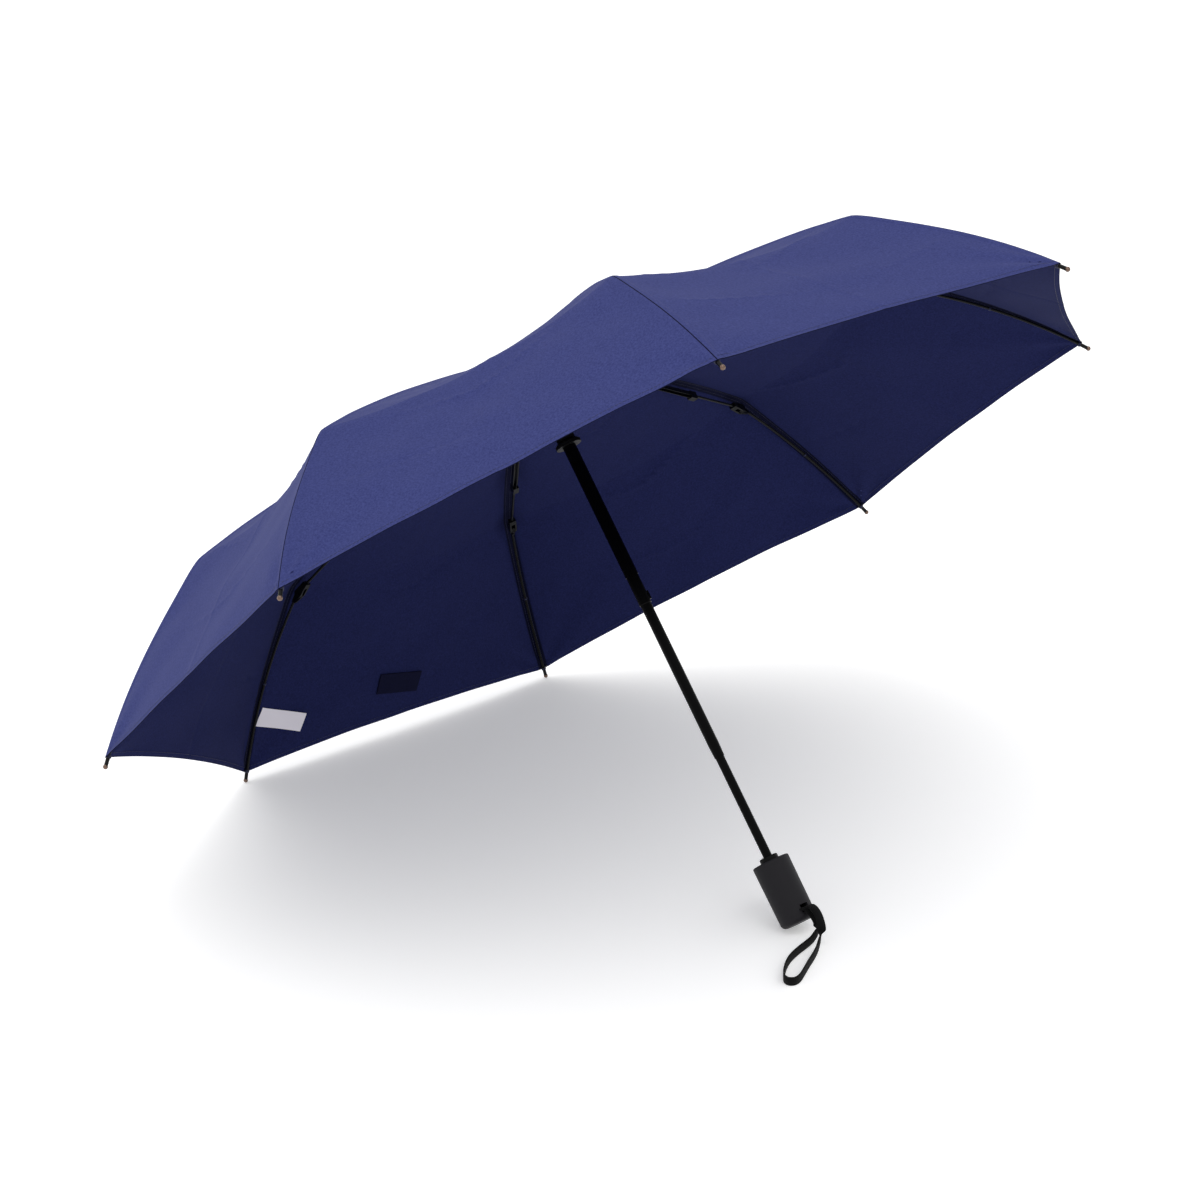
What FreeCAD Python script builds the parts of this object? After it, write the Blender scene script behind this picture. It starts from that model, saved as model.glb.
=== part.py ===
import FreeCAD, Part
import math
import os

import Sketcher

# An eight-rib folding umbrella, open and lying on two rim tips and the foot of its handle.
# Umbrella frame: z along the shaft towards the crown, z = 0 at the plane of the rib tips,
# x towards the side that lies on the floor.  Lengths in mm, angles in degrees.

os.makedirs("parts", exist_ok=True)
doc = FreeCAD.newDocument("folding_umbrella")

# ---------------------------------------------------------------- driving dimensions
SIZES = {
    # ribs: pivots measured along the radius and above the tip plane
    "rib_count": 8, "crown_pivot_z": 180,
    "elbow_r": 175.5, "elbow_z": 165, "knee_r": 337, "knee_z": 125,
    "tip_r": 488, "tip_ball_r": 2.2, "rod_r": 1.3, "rod_bow": 9,
    "pivot_offset": 3, "bar_height": 4, "bar_width": 3, "eye_r": 2.4,
    "rivet_r": 0.8, "fit_gap": 0.08, "side_gap": 0.3,
    "channel_width": 5.2, "channel_len": 78, "crimp_len": 9, "crimp_side": 5.8,
    "mid_rod_r": 1.3, "knee_block_len": 17, "knee_block_width": 7,
    "tab_len": 9, "wire_r": 0.35,
    # stretcher
    "strut_pivot_z": 142, "strut_reach": 80,
    "strut_width": 2, "strut_height": 3.6, "strut_side": 3,
    # shaft
    "low_tube_r": 4, "tube_wall": 0.6, "tube_play": 0.4, "low_tube_end": -349,
    "low_tube_top": -184, "mid_tube_end": -206, "mid_tube_top": -9, "mid_taper": 12,
    "top_tube_end": -27.5, "top_tube_top": 184, "neck_end": -56, "neck_insert": 15.5,
    "stop_len": 3,
    # crown, cap, runner
    "hub_wall": 2.1, "disc_thick": 9, "slot_width": 3.6, "boss_r": 7,
    "boss_top": 189, "boss_bore": 4.6, "cap_r": 11, "cap_height": 8.5,
    "cap_stem_r": 4.5, "runner_low": 103, "runner_foot_r": 12,
    "runner_foot_h": 3, "runner_top": 151, "pin_r": 0.75,
    # handle
    "grip_r": 16.9, "grip_foot_r": 16.4, "grip_top": -307, "grip_low": -366,
    "grip_wall": 2.6, "grip_round": 5, "collar_top": -302.5,
    "collar_pin_r": 0.8, "collar_pin_len": 3, "collar_pin_angle": 100, "strap_pin_len": 13.2,
    "strap_pin_out": 10.9, "button_seat": 3.2,
    "core_low": -354, "socket_low": -341, "plug_r": 11.4,
    "plug_thick": 6, "button_r": 4.5, "button_z": -322, "button_proud": 1.3,
    "button_travel": 1.8, "button_angle": -45,
    "slot_z": -356, "slot_wide": 8.4, "slot_high": 7, "strap_pin_r": 1.2,
    # cloth
    "cloth_thick": 0.5, "seam_gap": 0.25, "cloth_hole_r": 7.6, "patch_gap": 0.6,
    "rim_sag": 7, "closure_wide": 52.5, "closure_high": 24, "closure_thick": 1.4,
    "care_wide": 52, "care_high": 20, "care_thick": 0.4, "strap_dia": 3,
}
sheet = doc.addObject("Spreadsheet::Sheet", "dims")
for row, (word, number) in enumerate(SIZES.items(), start=1):
    sheet.set(f"A{row}", word)
    sheet.set(f"B{row}", str(number))
    sheet.setAlias(f"B{row}", word)

# sizes that follow: each tube from the one inside it, then what surrounds them, then the ribs
DERIVED = {
    "low_tube_bore": "low_tube_r - tube_wall", "mid_tube_bore": "low_tube_r + tube_play",
    "mid_tube_r": "mid_tube_bore + tube_wall", "top_tube_bore": "mid_tube_r + tube_play + 0.1",
    "top_tube_r": "top_tube_bore + tube_wall", "neck_r": "top_tube_r - 0.4",
    "hub_r": "top_tube_r + hub_wall", "crown_pivot_r": "hub_r + 2.8", "disc_r": "crown_pivot_r + 2.8",
    "runner_r": "hub_r + 0.4", "strut_pivot_r": "runner_r + 3.4",
    "socket_r": "neck_r + 0.25", "collar_r": "socket_r + 2.45",
    "inner_len": "sqrt((elbow_r - crown_pivot_r)^2 + (elbow_z - crown_pivot_z)^2 - pivot_offset^2)",
    "mid_len": "sqrt((knee_r - elbow_r)^2 + (knee_z - elbow_z)^2 - 4 * pivot_offset^2)",
    "outer_len": "sqrt((tip_r - knee_r)^2 + knee_z^2 - pivot_offset^2)",
    "bow_r": "(outer_len^2 / 4 + rod_bow^2) / (2 * rod_bow)",
    "bow_turn": "2 * asin(outer_len / 2 / bow_r)",
    "pin_hole_r": "pin_r + fit_gap", "rivet_hole_r": "rivet_r + fit_gap",
}
for row, (word, formula) in enumerate(DERIVED.items(), start=len(SIZES) + 1):
    sheet.set(f"A{row}", word)
    sheet.set(f"B{row}", "=" + formula)
    sheet.setAlias(f"B{row}", word)
doc.recompute()


def value(word):
    """The number that the sheet holds under an alias."""
    number = sheet.get(word)
    return float(getattr(number, "Value", number))


def reckon(text):
    """The number that an expression over the sheet's aliases gives."""
    result = sheet.evalExpression(text)
    return float(getattr(result, "Value", result))


def linked(text):
    """The same expression, written for an object outside the sheet."""
    words = set(SIZES) | set(DERIVED)
    out = []
    token = ""
    for ch in text + " ":
        if ch.isalnum() or ch == "_":
            token += ch
        else:
            out.append(f"dims.{token}" if token in words else token)
            out.append(ch)
            token = ""
    return "".join(out).strip()


def bind(obj, **formulas):
    """Tie an object's properties to the sheet."""
    for prop, text in formulas.items():
        obj.setExpression(prop.replace("__", "."), linked(str(text)))


V = FreeCAD.Vector
ORIGIN = V(0, 0, 0)
AXIS_X, AXIS_Y, AXIS_Z = V(1, 0, 0), V(0, 1, 0), V(0, 0, 1)


def place(x=0, y=0, z=0, axis=AXIS_Z, angle=0):
    return FreeCAD.Placement(V(x, y, z), FreeCAD.Rotation(axis, angle))


# ---------------------------------------------------------------- how the umbrella lies
def lying_pose():
    """Lean the umbrella until the two low tip balls and the handle's rounded foot touch the floor."""
    low = math.radians(180 / value("rib_count"))
    tip_x = value("tip_r") * math.cos(low)
    foot_x = value("grip_foot_r") - value("grip_round")
    foot_z = value("grip_low") + value("grip_round")
    reach = math.hypot(tip_x - foot_x, foot_z)
    lead = math.atan2(tip_x - foot_x, -foot_z)
    lean = math.acos((value("tip_ball_r") - value("grip_round")) / reach) - lead
    height = tip_x * math.sin(lean) + value("tip_ball_r")
    turn = FreeCAD.Rotation(AXIS_Y, -math.degrees(lean)) * FreeCAD.Rotation(AXIS_Z, 180)
    return FreeCAD.Placement(V(0, 0, height), turn), math.degrees(lean)


LYING, LEAN = lying_pose()
RIBS = range(int(value("rib_count")))
RIB_STEP = 360 / value("rib_count")


def rib_angle(i):
    return RIB_STEP * (i + 1.5)


def rib_plane(i):
    """Frame of one rib's plane: x outwards, z towards the crown."""
    return LYING * place(angle=rib_angle(i))


parts = {}


def keep(name, obj, where):
    obj.Label = name
    obj.Placement = where
    parts[name] = obj
    return obj


# ---------------------------------------------------------------- modelling helpers
def new_body(name):
    return doc.addObject("PartDesign::Body", name + "_body")


def plane_of(body, role):
    return next(f for f in body.Origin.OriginFeatures if f.Role == role)


def sketch_on(body, role, name):
    sketch = body.newObject("Sketcher::SketchObject", name)
    sketch.AttachmentSupport = (plane_of(body, role), [""])
    sketch.MapMode = "FlatFace"
    return sketch


def outline(sketch, corners):
    """A closed outline of straight edges whose corners are expressions (across, up)."""
    at = [(reckon(str(a)), reckon(str(b))) for a, b in corners]
    n = len(at)
    first = sketch.GeometryCount
    for k in range(n):
        (ax, ay), (bx, by) = at[k], at[(k + 1) % n]
        sketch.addGeometry(Part.LineSegment(V(ax, ay, 0), V(bx, by, 0)), False)
    for k in range(n):
        sketch.addConstraint(Sketcher.Constraint("Coincident", first + k, 2, first + (k + 1) % n, 1))
    for k, (across, up) in enumerate(corners):
        for kind, text, number in (("DistanceX", across, at[k][0]), ("DistanceY", up, at[k][1])):
            index = sketch.addConstraint(Sketcher.Constraint(kind, -1, 1, first + k, 1, number))
            if not str(text).lstrip("-").replace(".", "").isdigit():
                sketch.setExpression(f"Constraints[{index}]", linked(str(text)))


def circle(sketch, across, up, radius):
    """A circle whose centre and radius are expressions."""
    cx, cy, r = reckon(str(across)), reckon(str(up)), reckon(str(radius))
    g = sketch.addGeometry(Part.Circle(V(cx, cy, 0), AXIS_Z, r), False)
    for kind, text, number in (("DistanceX", across, cx), ("DistanceY", up, cy)):
        index = sketch.addConstraint(Sketcher.Constraint(kind, -1, 1, g, 3, number))
        if not str(text).lstrip("-").replace(".", "").isdigit():
            sketch.setExpression(f"Constraints[{index}]", linked(str(text)))
    index = sketch.addConstraint(Sketcher.Constraint("Radius", g, r))
    sketch.setExpression(f"Constraints[{index}]", linked(str(radius)))


def feature(body, kind, sketch, name, **formulas):
    made = body.newObject(f"PartDesign::{kind}", name)
    made.Profile = sketch
    bind(made, **formulas)
    return made


def turned(name, corners, where=None):
    """A turned piece: an outline in the (radius, height) half plane, revolved about the shaft."""
    body = new_body(name)
    sketch = sketch_on(body, "XZ_Plane", name + "_outline")
    outline(sketch, corners)
    spin = body.newObject("PartDesign::Revolution", name + "_turn")
    spin.Profile = sketch
    spin.ReferenceAxis = (sketch, ["V_Axis"])
    spin.Angle = 360
    keep(name, body, where or LYING)
    return body


def slab(body, name, role, corners, width, holes=(), kind="Pad"):
    """An outline, with round holes, padded or pocketed to both sides of a base plane."""
    sketch = sketch_on(body, role, name + "_outline")
    outline(sketch, corners)
    for across, up, radius in holes:
        circle(sketch, across, up, radius)
    made = feature(body, kind, sketch, name, Length=width)
    if hasattr(made, "Midplane"):
        made.Midplane = True
    return made


def bar_pose(pivot_r, pivot_z, angle):
    """Frame of a bar that starts at a pivot: x along the bar, z on the cloth's side."""
    return place(pivot_r, 0, pivot_z, AXIS_Y, -angle)


# ---------------------------------------------------------------- rib geometry in one plane
def bar_angle(start, end, shift):
    """Slope of a bar's centre line, when the far pivot stands off that line by shift."""
    run = end[0] - start[0]
    rise = end[1] - start[1]
    return math.degrees(math.atan2(rise, run) - math.asin(shift / math.hypot(run, rise)))


CROWN_PIVOT = (value("crown_pivot_r"), value("crown_pivot_z"))
ELBOW = (value("elbow_r"), value("elbow_z"))
KNEE = (value("knee_r"), value("knee_z"))
TIP = (value("tip_r"), 0)
INNER_SLOPE = bar_angle(CROWN_PIVOT, ELBOW, value("pivot_offset"))
MID_SLOPE = bar_angle(ELBOW, KNEE, -2 * value("pivot_offset"))
OUTER_SLOPE = bar_angle(KNEE, TIP, value("pivot_offset"))
STRUT_PIVOT = (value("strut_pivot_r"), value("strut_pivot_z"))
STRUT_END = (
    CROWN_PIVOT[0] + value("strut_reach") * math.cos(math.radians(INNER_SLOPE)),
    CROWN_PIVOT[1] + value("strut_reach") * math.sin(math.radians(INNER_SLOPE)),
)
STRUT_LEN = math.hypot(STRUT_END[0] - STRUT_PIVOT[0], STRUT_END[1] - STRUT_PIVOT[1])
STRUT_SLOPE = bar_angle(STRUT_PIVOT, STRUT_END, 0)


def on_plane(sketch, off):
    """Move a sketch along its plane's normal."""
    sketch.setExpression("AttachmentOffset.Base.z", linked(off))


def round_bar(body, name, across, up, radius, start, length):
    """A round bar along x."""
    sketch = sketch_on(body, "YZ_Plane", name + "_outline")
    circle(sketch, across, up, radius)
    on_plane(sketch, start)
    return feature(body, "Pad", sketch, name, Length=length)


def rivet(body, name, across, up, length):
    sketch = sketch_on(body, "XZ_Plane", name + "_outline")
    circle(sketch, across, up, "rivet_r")
    pin = feature(body, "Pad", sketch, name, Length=length)
    pin.Midplane = True
    return pin


def groove(body, name, start, end, width, top, depth):
    """A lengthwise groove in the underside of a bar."""
    sketch = sketch_on(body, "XY_Plane", name + "_outline")
    outline(sketch, [(start, f"-{width} / 2"), (end, f"-{width} / 2"), (end, f"{width} / 2"),
                     (start, f"{width} / 2")])
    on_plane(sketch, top)
    return feature(body, "Pocket", sketch, name, Length=depth)


def inner_rib(i):
    body = new_body(f"inner_rib_{i + 1}")
    name = f"inner{i + 1}"
    slab(body, name + "_bar", "XZ_Plane",
         [("-1", "-bar_height / 2"), ("inner_len + eye_r", "-bar_height / 2"),
          ("inner_len + eye_r", "pivot_offset + eye_r"), ("inner_len - eye_r", "pivot_offset + eye_r"),
          ("inner_len - 2 * eye_r", "bar_height / 2"), ("-1", "bar_height / 2"),
          ("-1.9", "bar_height / 4"), ("-1.9", "-bar_height / 4")],
         "bar_width", holes=[("0", "0", "pin_hole_r"), ("inner_len", "pivot_offset", "rivet_hole_r")])
    groove(body, name + "_groove", "5", "inner_len - 3 * eye_r", "(bar_width - 1.2)", "0.6", "bar_height")
    keep(f"inner_rib_{i + 1}", body, rib_plane(i) * bar_pose(*CROWN_PIVOT, INNER_SLOPE))


def mid_rib(i):
    """Channel, crimp, rod and knee block; its centre line runs below the elbow pivot."""
    body = new_body(f"mid_rib_{i + 1}")
    name = f"mid{i + 1}"
    line = "-pivot_offset"
    low = "-pivot_offset - bar_height / 2"
    high = "-pivot_offset + bar_height / 2"
    slab(body, name + "_channel", "XZ_Plane",
         [("-eye_r", low), ("channel_len", low), ("channel_len", high), ("2 * eye_r", high),
          ("eye_r", "eye_r"), ("-eye_r", "eye_r")], "channel_width")
    slab(body, name + "_fork", "XZ_Plane",
         [("-2 * eye_r", "-3 * eye_r"), ("3.2 * eye_r", "-3 * eye_r"), ("3.2 * eye_r", "2 * eye_r"),
          ("-2 * eye_r", "2 * eye_r")], "bar_width + 2 * side_gap", kind="Pocket")
    groove(body, name + "_groove", "4 * eye_r", "channel_len - 2", "(channel_width - 1.4)",
           "-pivot_offset + 1.2", "bar_height")
    rivet(body, name + "_elbow_rivet", "0", "0", "channel_width + 0.8")
    slab(body, name + "_crimp", "XZ_Plane",
         [("channel_len - 1", "-pivot_offset - 4.6"), ("channel_len + crimp_len", "-pivot_offset - 4.6"),
          ("channel_len + crimp_len", "-pivot_offset + crimp_side / 2"),
          ("channel_len - 1", "-pivot_offset + crimp_side / 2")], "crimp_side")
    slab(body, name + "_lug", "XZ_Plane",
         [("4 * eye_r", "-pivot_offset - 4.4"), ("4 * eye_r + 4", "-pivot_offset - 4.4"),
          ("4 * eye_r + 4", line), ("4 * eye_r", line)], "bar_width")
    round_bar(body, name + "_wire", "0", "-pivot_offset - 3.9", "wire_r", "4 * eye_r",
              "channel_len - 4 * eye_r")
    round_bar(body, name + "_rod", "0", line, "mid_rod_r", "channel_len + 2", "mid_len - channel_len - 12")
    slab(body, name + "_knee", "XZ_Plane",
         [("mid_len + eye_r - knee_block_len", "-pivot_offset - 2.4"),
          ("mid_len - eye_r", "-2 * pivot_offset - eye_r"), ("mid_len + eye_r", "-2 * pivot_offset - eye_r"),
          ("mid_len + eye_r", "-pivot_offset"), ("mid_len", "-pivot_offset + 2.4"),
          ("mid_len + eye_r - knee_block_len", "-pivot_offset + 2.4")], "knee_block_width")
    slab(body, name + "_knee_fork", "XZ_Plane",
         [("mid_len - 4 * eye_r", "-2 * pivot_offset - 3 * eye_r"),
          ("mid_len + 3 * eye_r", "-2 * pivot_offset - 3 * eye_r"),
          ("mid_len + 3 * eye_r", "2 * eye_r"), ("mid_len - 2.5 * eye_r", "2 * eye_r"),
          ("mid_len - 2.5 * eye_r", "-2 * pivot_offset + 1.5"),
          ("mid_len - 4 * eye_r", "-2 * pivot_offset + 1.5")],
         "bar_width + 2 * side_gap", kind="Pocket")
    rivet(body, name + "_knee_rivet", "mid_len", "-2 * pivot_offset", "knee_block_width + 1")
    rivet(body, name + "_block_rivet_a", "mid_len - 8", "-pivot_offset", "knee_block_width + 1")
    rivet(body, name + "_block_rivet_b", "mid_len - 12", "-pivot_offset + 0.6", "knee_block_width + 1")
    keep(f"mid_rib_{i + 1}", body, rib_plane(i) * bar_pose(*ELBOW, MID_SLOPE))


def outer_rib(i):
    """Bowed rod from the knee to the ball tip; its chord runs above the knee pivot."""
    body = new_body(f"outer_rib_{i + 1}")
    name = f"outer{i + 1}"
    slab(body, name + "_tab", "XZ_Plane",
         [("-eye_r", "-eye_r"), ("eye_r", "-eye_r"), ("tab_len", "pivot_offset - 1"),
          ("tab_len", "pivot_offset + 3"), ("-eye_r", "pivot_offset + 1.6")],
         "bar_width", holes=[("0", "0", "rivet_hole_r")])
    sketch = sketch_on(body, "YZ_Plane", name + "_rod_outline")
    circle(sketch, "0", "pivot_offset + rod_bow", "rod_r")
    centre = reckon("pivot_offset + rod_bow - bow_r")
    axis = sketch.addGeometry(Part.LineSegment(V(0, centre, 0), V(5, centre, 0)), True)
    sketch.addConstraint(Sketcher.Constraint("Horizontal", axis))
    index = sketch.addConstraint(Sketcher.Constraint("DistanceY", -1, 1, axis, 1, centre))
    sketch.setExpression(f"Constraints[{index}]", linked("pivot_offset + rod_bow - bow_r"))
    on_plane(sketch, "outer_len / 2")
    rod = body.newObject("PartDesign::Revolution", name + "_rod")
    rod.Profile = sketch
    rod.ReferenceAxis = (sketch, ["Axis0"])
    rod.Midplane = True
    bind(rod, Angle="bow_turn")
    sleeve = body.newObject("PartDesign::AdditiveCylinder", name + "_sleeve")
    ball = body.newObject("PartDesign::AdditiveSphere", name + "_ball")
    for thing in (sleeve, ball):
        thing.AttachmentSupport = (plane_of(body, "XY_Plane"), [""])
        thing.MapMode = "FlatFace"
        thing.setExpression("AttachmentOffset.Base.x", linked("outer_len"))
        thing.setExpression("AttachmentOffset.Base.z", linked("pivot_offset"))
    back = FreeCAD.Rotation(AXIS_Y, -90 + value("bow_turn") / 2)
    sleeve.AttachmentOffset = FreeCAD.Placement(V(value("outer_len"), 0, value("pivot_offset")), back)
    bind(sleeve, Radius="rod_r + 0.45", Height="9")
    bind(ball, Radius="tip_ball_r")
    keep(f"outer_rib_{i + 1}", body, rib_plane(i) * bar_pose(*KNEE, OUTER_SLOPE))


def stretcher(i):
    body = new_body(f"stretcher_{i + 1}")
    name = f"strut{i + 1}"
    reach = f"{STRUT_LEN}"
    slab(body, name + "_bar", "XZ_Plane",
         [("-1", "-strut_height / 2"), (f"{reach} + 1", "-strut_height / 2"),
          (f"{reach} + 2", "-strut_height / 4"), (f"{reach} + 2", "strut_height / 4"),
          (f"{reach} + 1", "strut_height / 2"), ("-1", "strut_height / 2"),
          ("-1.9", "strut_height / 4"), ("-1.9", "-strut_height / 4")],
         "strut_width", holes=[("0", "0", "pin_hole_r"), (reach, "0", "rivet_hole_r")])
    off = place(0, value("strut_side"), 0)
    keep(f"stretcher_{i + 1}", body, rib_plane(i) * off * bar_pose(*STRUT_PIVOT, STRUT_SLOPE))


for i in RIBS:
    inner_rib(i)
    mid_rib(i)
    outer_rib(i)
    stretcher(i)


# ---------------------------------------------------------------- shaft
def patterned(body, feature_made, name):
    """Repeat a feature once for each rib."""
    ring = body.newObject("PartDesign::PolarPattern", name)
    ring.Originals = [feature_made]
    ring.Axis = (plane_axis(body), [""])
    ring.Angle = 360
    bind(ring, Occurrences="rib_count")
    body.Tip = ring
    return ring


def plane_axis(body):
    return next(f for f in body.Origin.OriginFeatures if f.Role == "Z_Axis")


HUB = LYING * place(angle=RIB_STEP / 2)


def rib_slots(body, name, near, low, width, side):
    """Radial slots for the rib ends, open at the rim of a disc."""
    sketch = sketch_on(body, "XY_Plane", name + "_outline")
    outline(sketch, [(near, f"{side} - {width} / 2"), ("disc_r + 2", f"{side} - {width} / 2"),
                     ("disc_r + 2", f"{side} + {width} / 2"), (near, f"{side} + {width} / 2")])
    on_plane(sketch, f"{low} + disc_thick + 1")
    slot = feature(body, "Pocket", sketch, name, Length="disc_thick + 2")
    return patterned(body, slot, name + "_ring")


def hinge_pins(body, name, across, up, length, side):
    """Short pins across the slots, one for each rib."""
    sketch = sketch_on(body, "XZ_Plane", name + "_outline")
    circle(sketch, across, up, "pin_r")
    on_plane(sketch, f"-({side})")
    pin = feature(body, "Pad", sketch, name, Length=length)
    pin.Midplane = True
    return patterned(body, pin, name + "_ring")


crown_low = "crown_pivot_z - disc_thick / 2"
crown = turned("crown",
               [("top_tube_r + fit_gap", f"{crown_low} - 10"), ("hub_r", f"{crown_low} - 10"),
                ("hub_r", crown_low), ("disc_r", crown_low), ("disc_r", "crown_pivot_z + disc_thick / 2"),
                ("boss_r", "crown_pivot_z + disc_thick / 2"), ("boss_r", "boss_top"),
                ("boss_bore", "boss_top"), ("boss_bore", "boss_top - 2"),
                ("0", "boss_top - 2"), ("0", "top_tube_top"), ("top_tube_r + fit_gap", "top_tube_top")],
               HUB)
rib_slots(crown, "crown_slot", "hub_r + 0.25", crown_low, "slot_width", "0")
hinge_pins(crown, "crown_pin", "crown_pivot_r", "crown_pivot_z", "slot_width + 1.4", "0")

turned("top_cap",
       [("0", "boss_top - 1.9"), ("cap_stem_r", "boss_top - 1.9"), ("cap_stem_r", "boss_top + 1.3"),
        ("cap_r", "boss_top + 1.3"), ("cap_r", "boss_top + 3"), ("cap_r * 0.86", "boss_top + 5.4"),
        ("cap_r * 0.6", "boss_top + 7.2"), ("cap_r * 0.3", "boss_top + 8.2"), ("0", "boss_top + cap_height")])
turned("upper_tube",
       [("top_tube_bore", "top_tube_end"), ("top_tube_r", "top_tube_end"),
        ("top_tube_r", "top_tube_top"), ("top_tube_bore", "top_tube_top")])
neck = turned("tube_neck",
              [("mid_tube_r + fit_gap", "neck_end"), ("neck_r - 0.4", "neck_end"),
               ("neck_r", "neck_end + 0.8"),
               ("neck_r", "top_tube_end"), ("top_tube_bore - 0.05", "top_tube_end"),
               ("top_tube_bore - 0.05", "top_tube_end + neck_insert"),
               ("mid_tube_r + fit_gap", "top_tube_end + neck_insert")])
LATCH_ANGLE = -122
LATCH_WIDTH = 2.2
LATCH_PROUD = 1.4
LATCH_HIGH = 8
latch = neck.newObject("PartDesign::AdditiveBox", "latch")
latch.AttachmentSupport = (plane_of(neck, "XY_Plane"), [""])
latch.MapMode = "FlatFace"
latch.AttachmentOffset = place(angle=LATCH_ANGLE) * place(value("neck_r") - 0.4, -LATCH_WIDTH / 2,
                                                          value("neck_end") + 3)
latch.Width = LATCH_WIDTH
latch.Length = LATCH_PROUD + 0.4
latch.Height = LATCH_HIGH
turned("mid_tube",
       [("low_tube_r + fit_gap", "mid_tube_end"), ("mid_tube_r - 0.45", "mid_tube_end"),
        ("mid_tube_r", "mid_tube_end + mid_taper"), ("mid_tube_r", "mid_tube_top - stop_len"),
        ("top_tube_bore - 0.1", "mid_tube_top - stop_len"), ("top_tube_bore - 0.1", "mid_tube_top"),
        ("mid_tube_bore", "mid_tube_top"), ("mid_tube_bore", "mid_tube_end + mid_taper + 4"),
        ("low_tube_r + fit_gap", "mid_tube_end + mid_taper + 3")])
turned("lower_tube",
       [("low_tube_bore", "low_tube_end"), ("low_tube_r", "low_tube_end"),
        ("low_tube_r", "low_tube_top - stop_len"), ("mid_tube_bore - 0.08", "low_tube_top - stop_len"),
        ("mid_tube_bore - 0.08", "low_tube_top"), ("low_tube_bore", "low_tube_top")])

flange_low = "strut_pivot_z - disc_thick / 2"
runner = turned("runner",
                [("top_tube_r + fit_gap", "runner_low"), ("runner_foot_r", "runner_low"),
                 ("runner_foot_r", "runner_low + runner_foot_h"),
                 ("runner_r", "runner_low + 2 * runner_foot_h"),
                 ("runner_r", flange_low), ("disc_r", flange_low), ("disc_r", f"{flange_low} + disc_thick"),
                 ("runner_r", f"{flange_low} + disc_thick"), ("runner_r", "runner_top"),
                 ("top_tube_r + fit_gap", "runner_top")], HUB)
rib_slots(runner, "runner_slot", "runner_r + 0.3", flange_low, "(strut_width + 2 * side_gap)", "strut_side")
hinge_pins(runner, "runner_pin", "strut_pivot_r", "strut_pivot_z", "strut_width + 1.8", "strut_side")


# ---------------------------------------------------------------- handle
def edge_at(made, height, radius):
    """Name of the round edge at a height and radius about the shaft."""
    for number, edge in enumerate(made.Shape.Edges, start=1):
        curve = edge.Curve
        if not isinstance(curve, Part.Circle):
            continue
        if math.hypot(curve.Radius - radius, curve.Center.z - height) < 0.01:
            return f"Edge{number}"
    raise ValueError(f"no edge at {height}, {radius}")


def cutter(name, kind, where, **formulas):
    tool = doc.addObject(f"Part::{kind}", name)
    bind(tool, **formulas)
    tool.Placement = where
    return tool


def cut_away(name, base, tools, where):
    """A body less some tools, as one object."""
    hole = tools[0]
    if len(tools) > 1:
        hole = doc.addObject("Part::MultiFuse", name + "_tools")
        hole.Shapes = tools
    made = doc.addObject("Part::Cut", name + "_cut")
    made.Base = base
    made.Tool = hole
    return keep(name, made, where)


shell = turned("handle_shell",
               [("collar_r + fit_gap", "grip_top"), ("grip_r - 0.8", "grip_top"),
                ("grip_r", "grip_top - 0.8"),
                ("grip_foot_r", "grip_low"), ("plug_r + fit_gap", "grip_low"),
                ("plug_r + fit_gap", "grip_low + grip_round"),
                ("grip_foot_r - grip_wall", "grip_low + grip_round"),
                ("grip_foot_r - grip_wall", "grip_top - grip_wall"),
                ("collar_r + fit_gap", "grip_top - grip_wall")], place())
doc.recompute()
unrounded = shell.Tip
rounding = shell.newObject("PartDesign::Fillet", "handle_foot_round")
rounding.Base = (unrounded, [edge_at(unrounded, value("grip_low"), value("grip_foot_r"))])
bind(rounding, Radius="grip_round - 0.1")

BUTTON_POSE = place(angle=value("button_angle")) * place(0, 0, value("button_z"), AXIS_Y, 90)
button_hole = cutter("button_hole", "Cylinder", BUTTON_POSE, Radius="button_r + 0.15", Height="grip_r + 2")
flange_pocket = cutter("flange_pocket", "Cylinder", BUTTON_POSE,
                       Radius="button_r + 1.05", Height="collar_r + button_seat + 1")
SLOT_TURN = place(angle=180)
strap_slot = cutter("strap_slot", "Box",
                    SLOT_TURN * place(value("collar_r") + 3, -value("slot_wide") / 2,
                                      value("slot_z") - value("slot_high") / 2),
                    Length="grip_r", Width="slot_wide", Height="slot_high")
cut_away("handle_shell", shell, [button_hole, flange_pocket, strap_slot], LYING)

core = turned("handle_core",
              [("0", "core_low"), ("collar_r", "core_low"), ("collar_r", "collar_top - 0.6"),
               ("collar_r - 0.6", "collar_top"), ("socket_r", "collar_top"), ("socket_r", "socket_low"),
               ("low_tube_r + 0.02", "socket_low"), ("low_tube_r + 0.02", "low_tube_end"),
               ("0", "low_tube_end")], place())
keyway = cutter("latch_keyway", "Box",
                place(angle=LATCH_ANGLE) * place(0, -LATCH_WIDTH / 2 - value("side_gap"),
                                                 value("socket_low") + 9),
                Length=f"neck_r + {LATCH_PROUD} + 0.35", Width=f"{LATCH_WIDTH} + 2 * side_gap",
                Height="60")
COLLAR_WALL_R = (value("socket_r") + value("collar_r")) / 2
COLLAR_PIN_POSE = place(angle=value("collar_pin_angle")) * place(COLLAR_WALL_R, 0, value("collar_top"))
pin_hole = cutter("collar_pin_hole", "Cylinder", COLLAR_PIN_POSE * place(z=-value("collar_pin_len") - 0.1),
                  Radius="collar_pin_r + 0.05", Height="collar_pin_len + 1")
cut_away("handle_core", core, [keyway, pin_hole], LYING)

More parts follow.
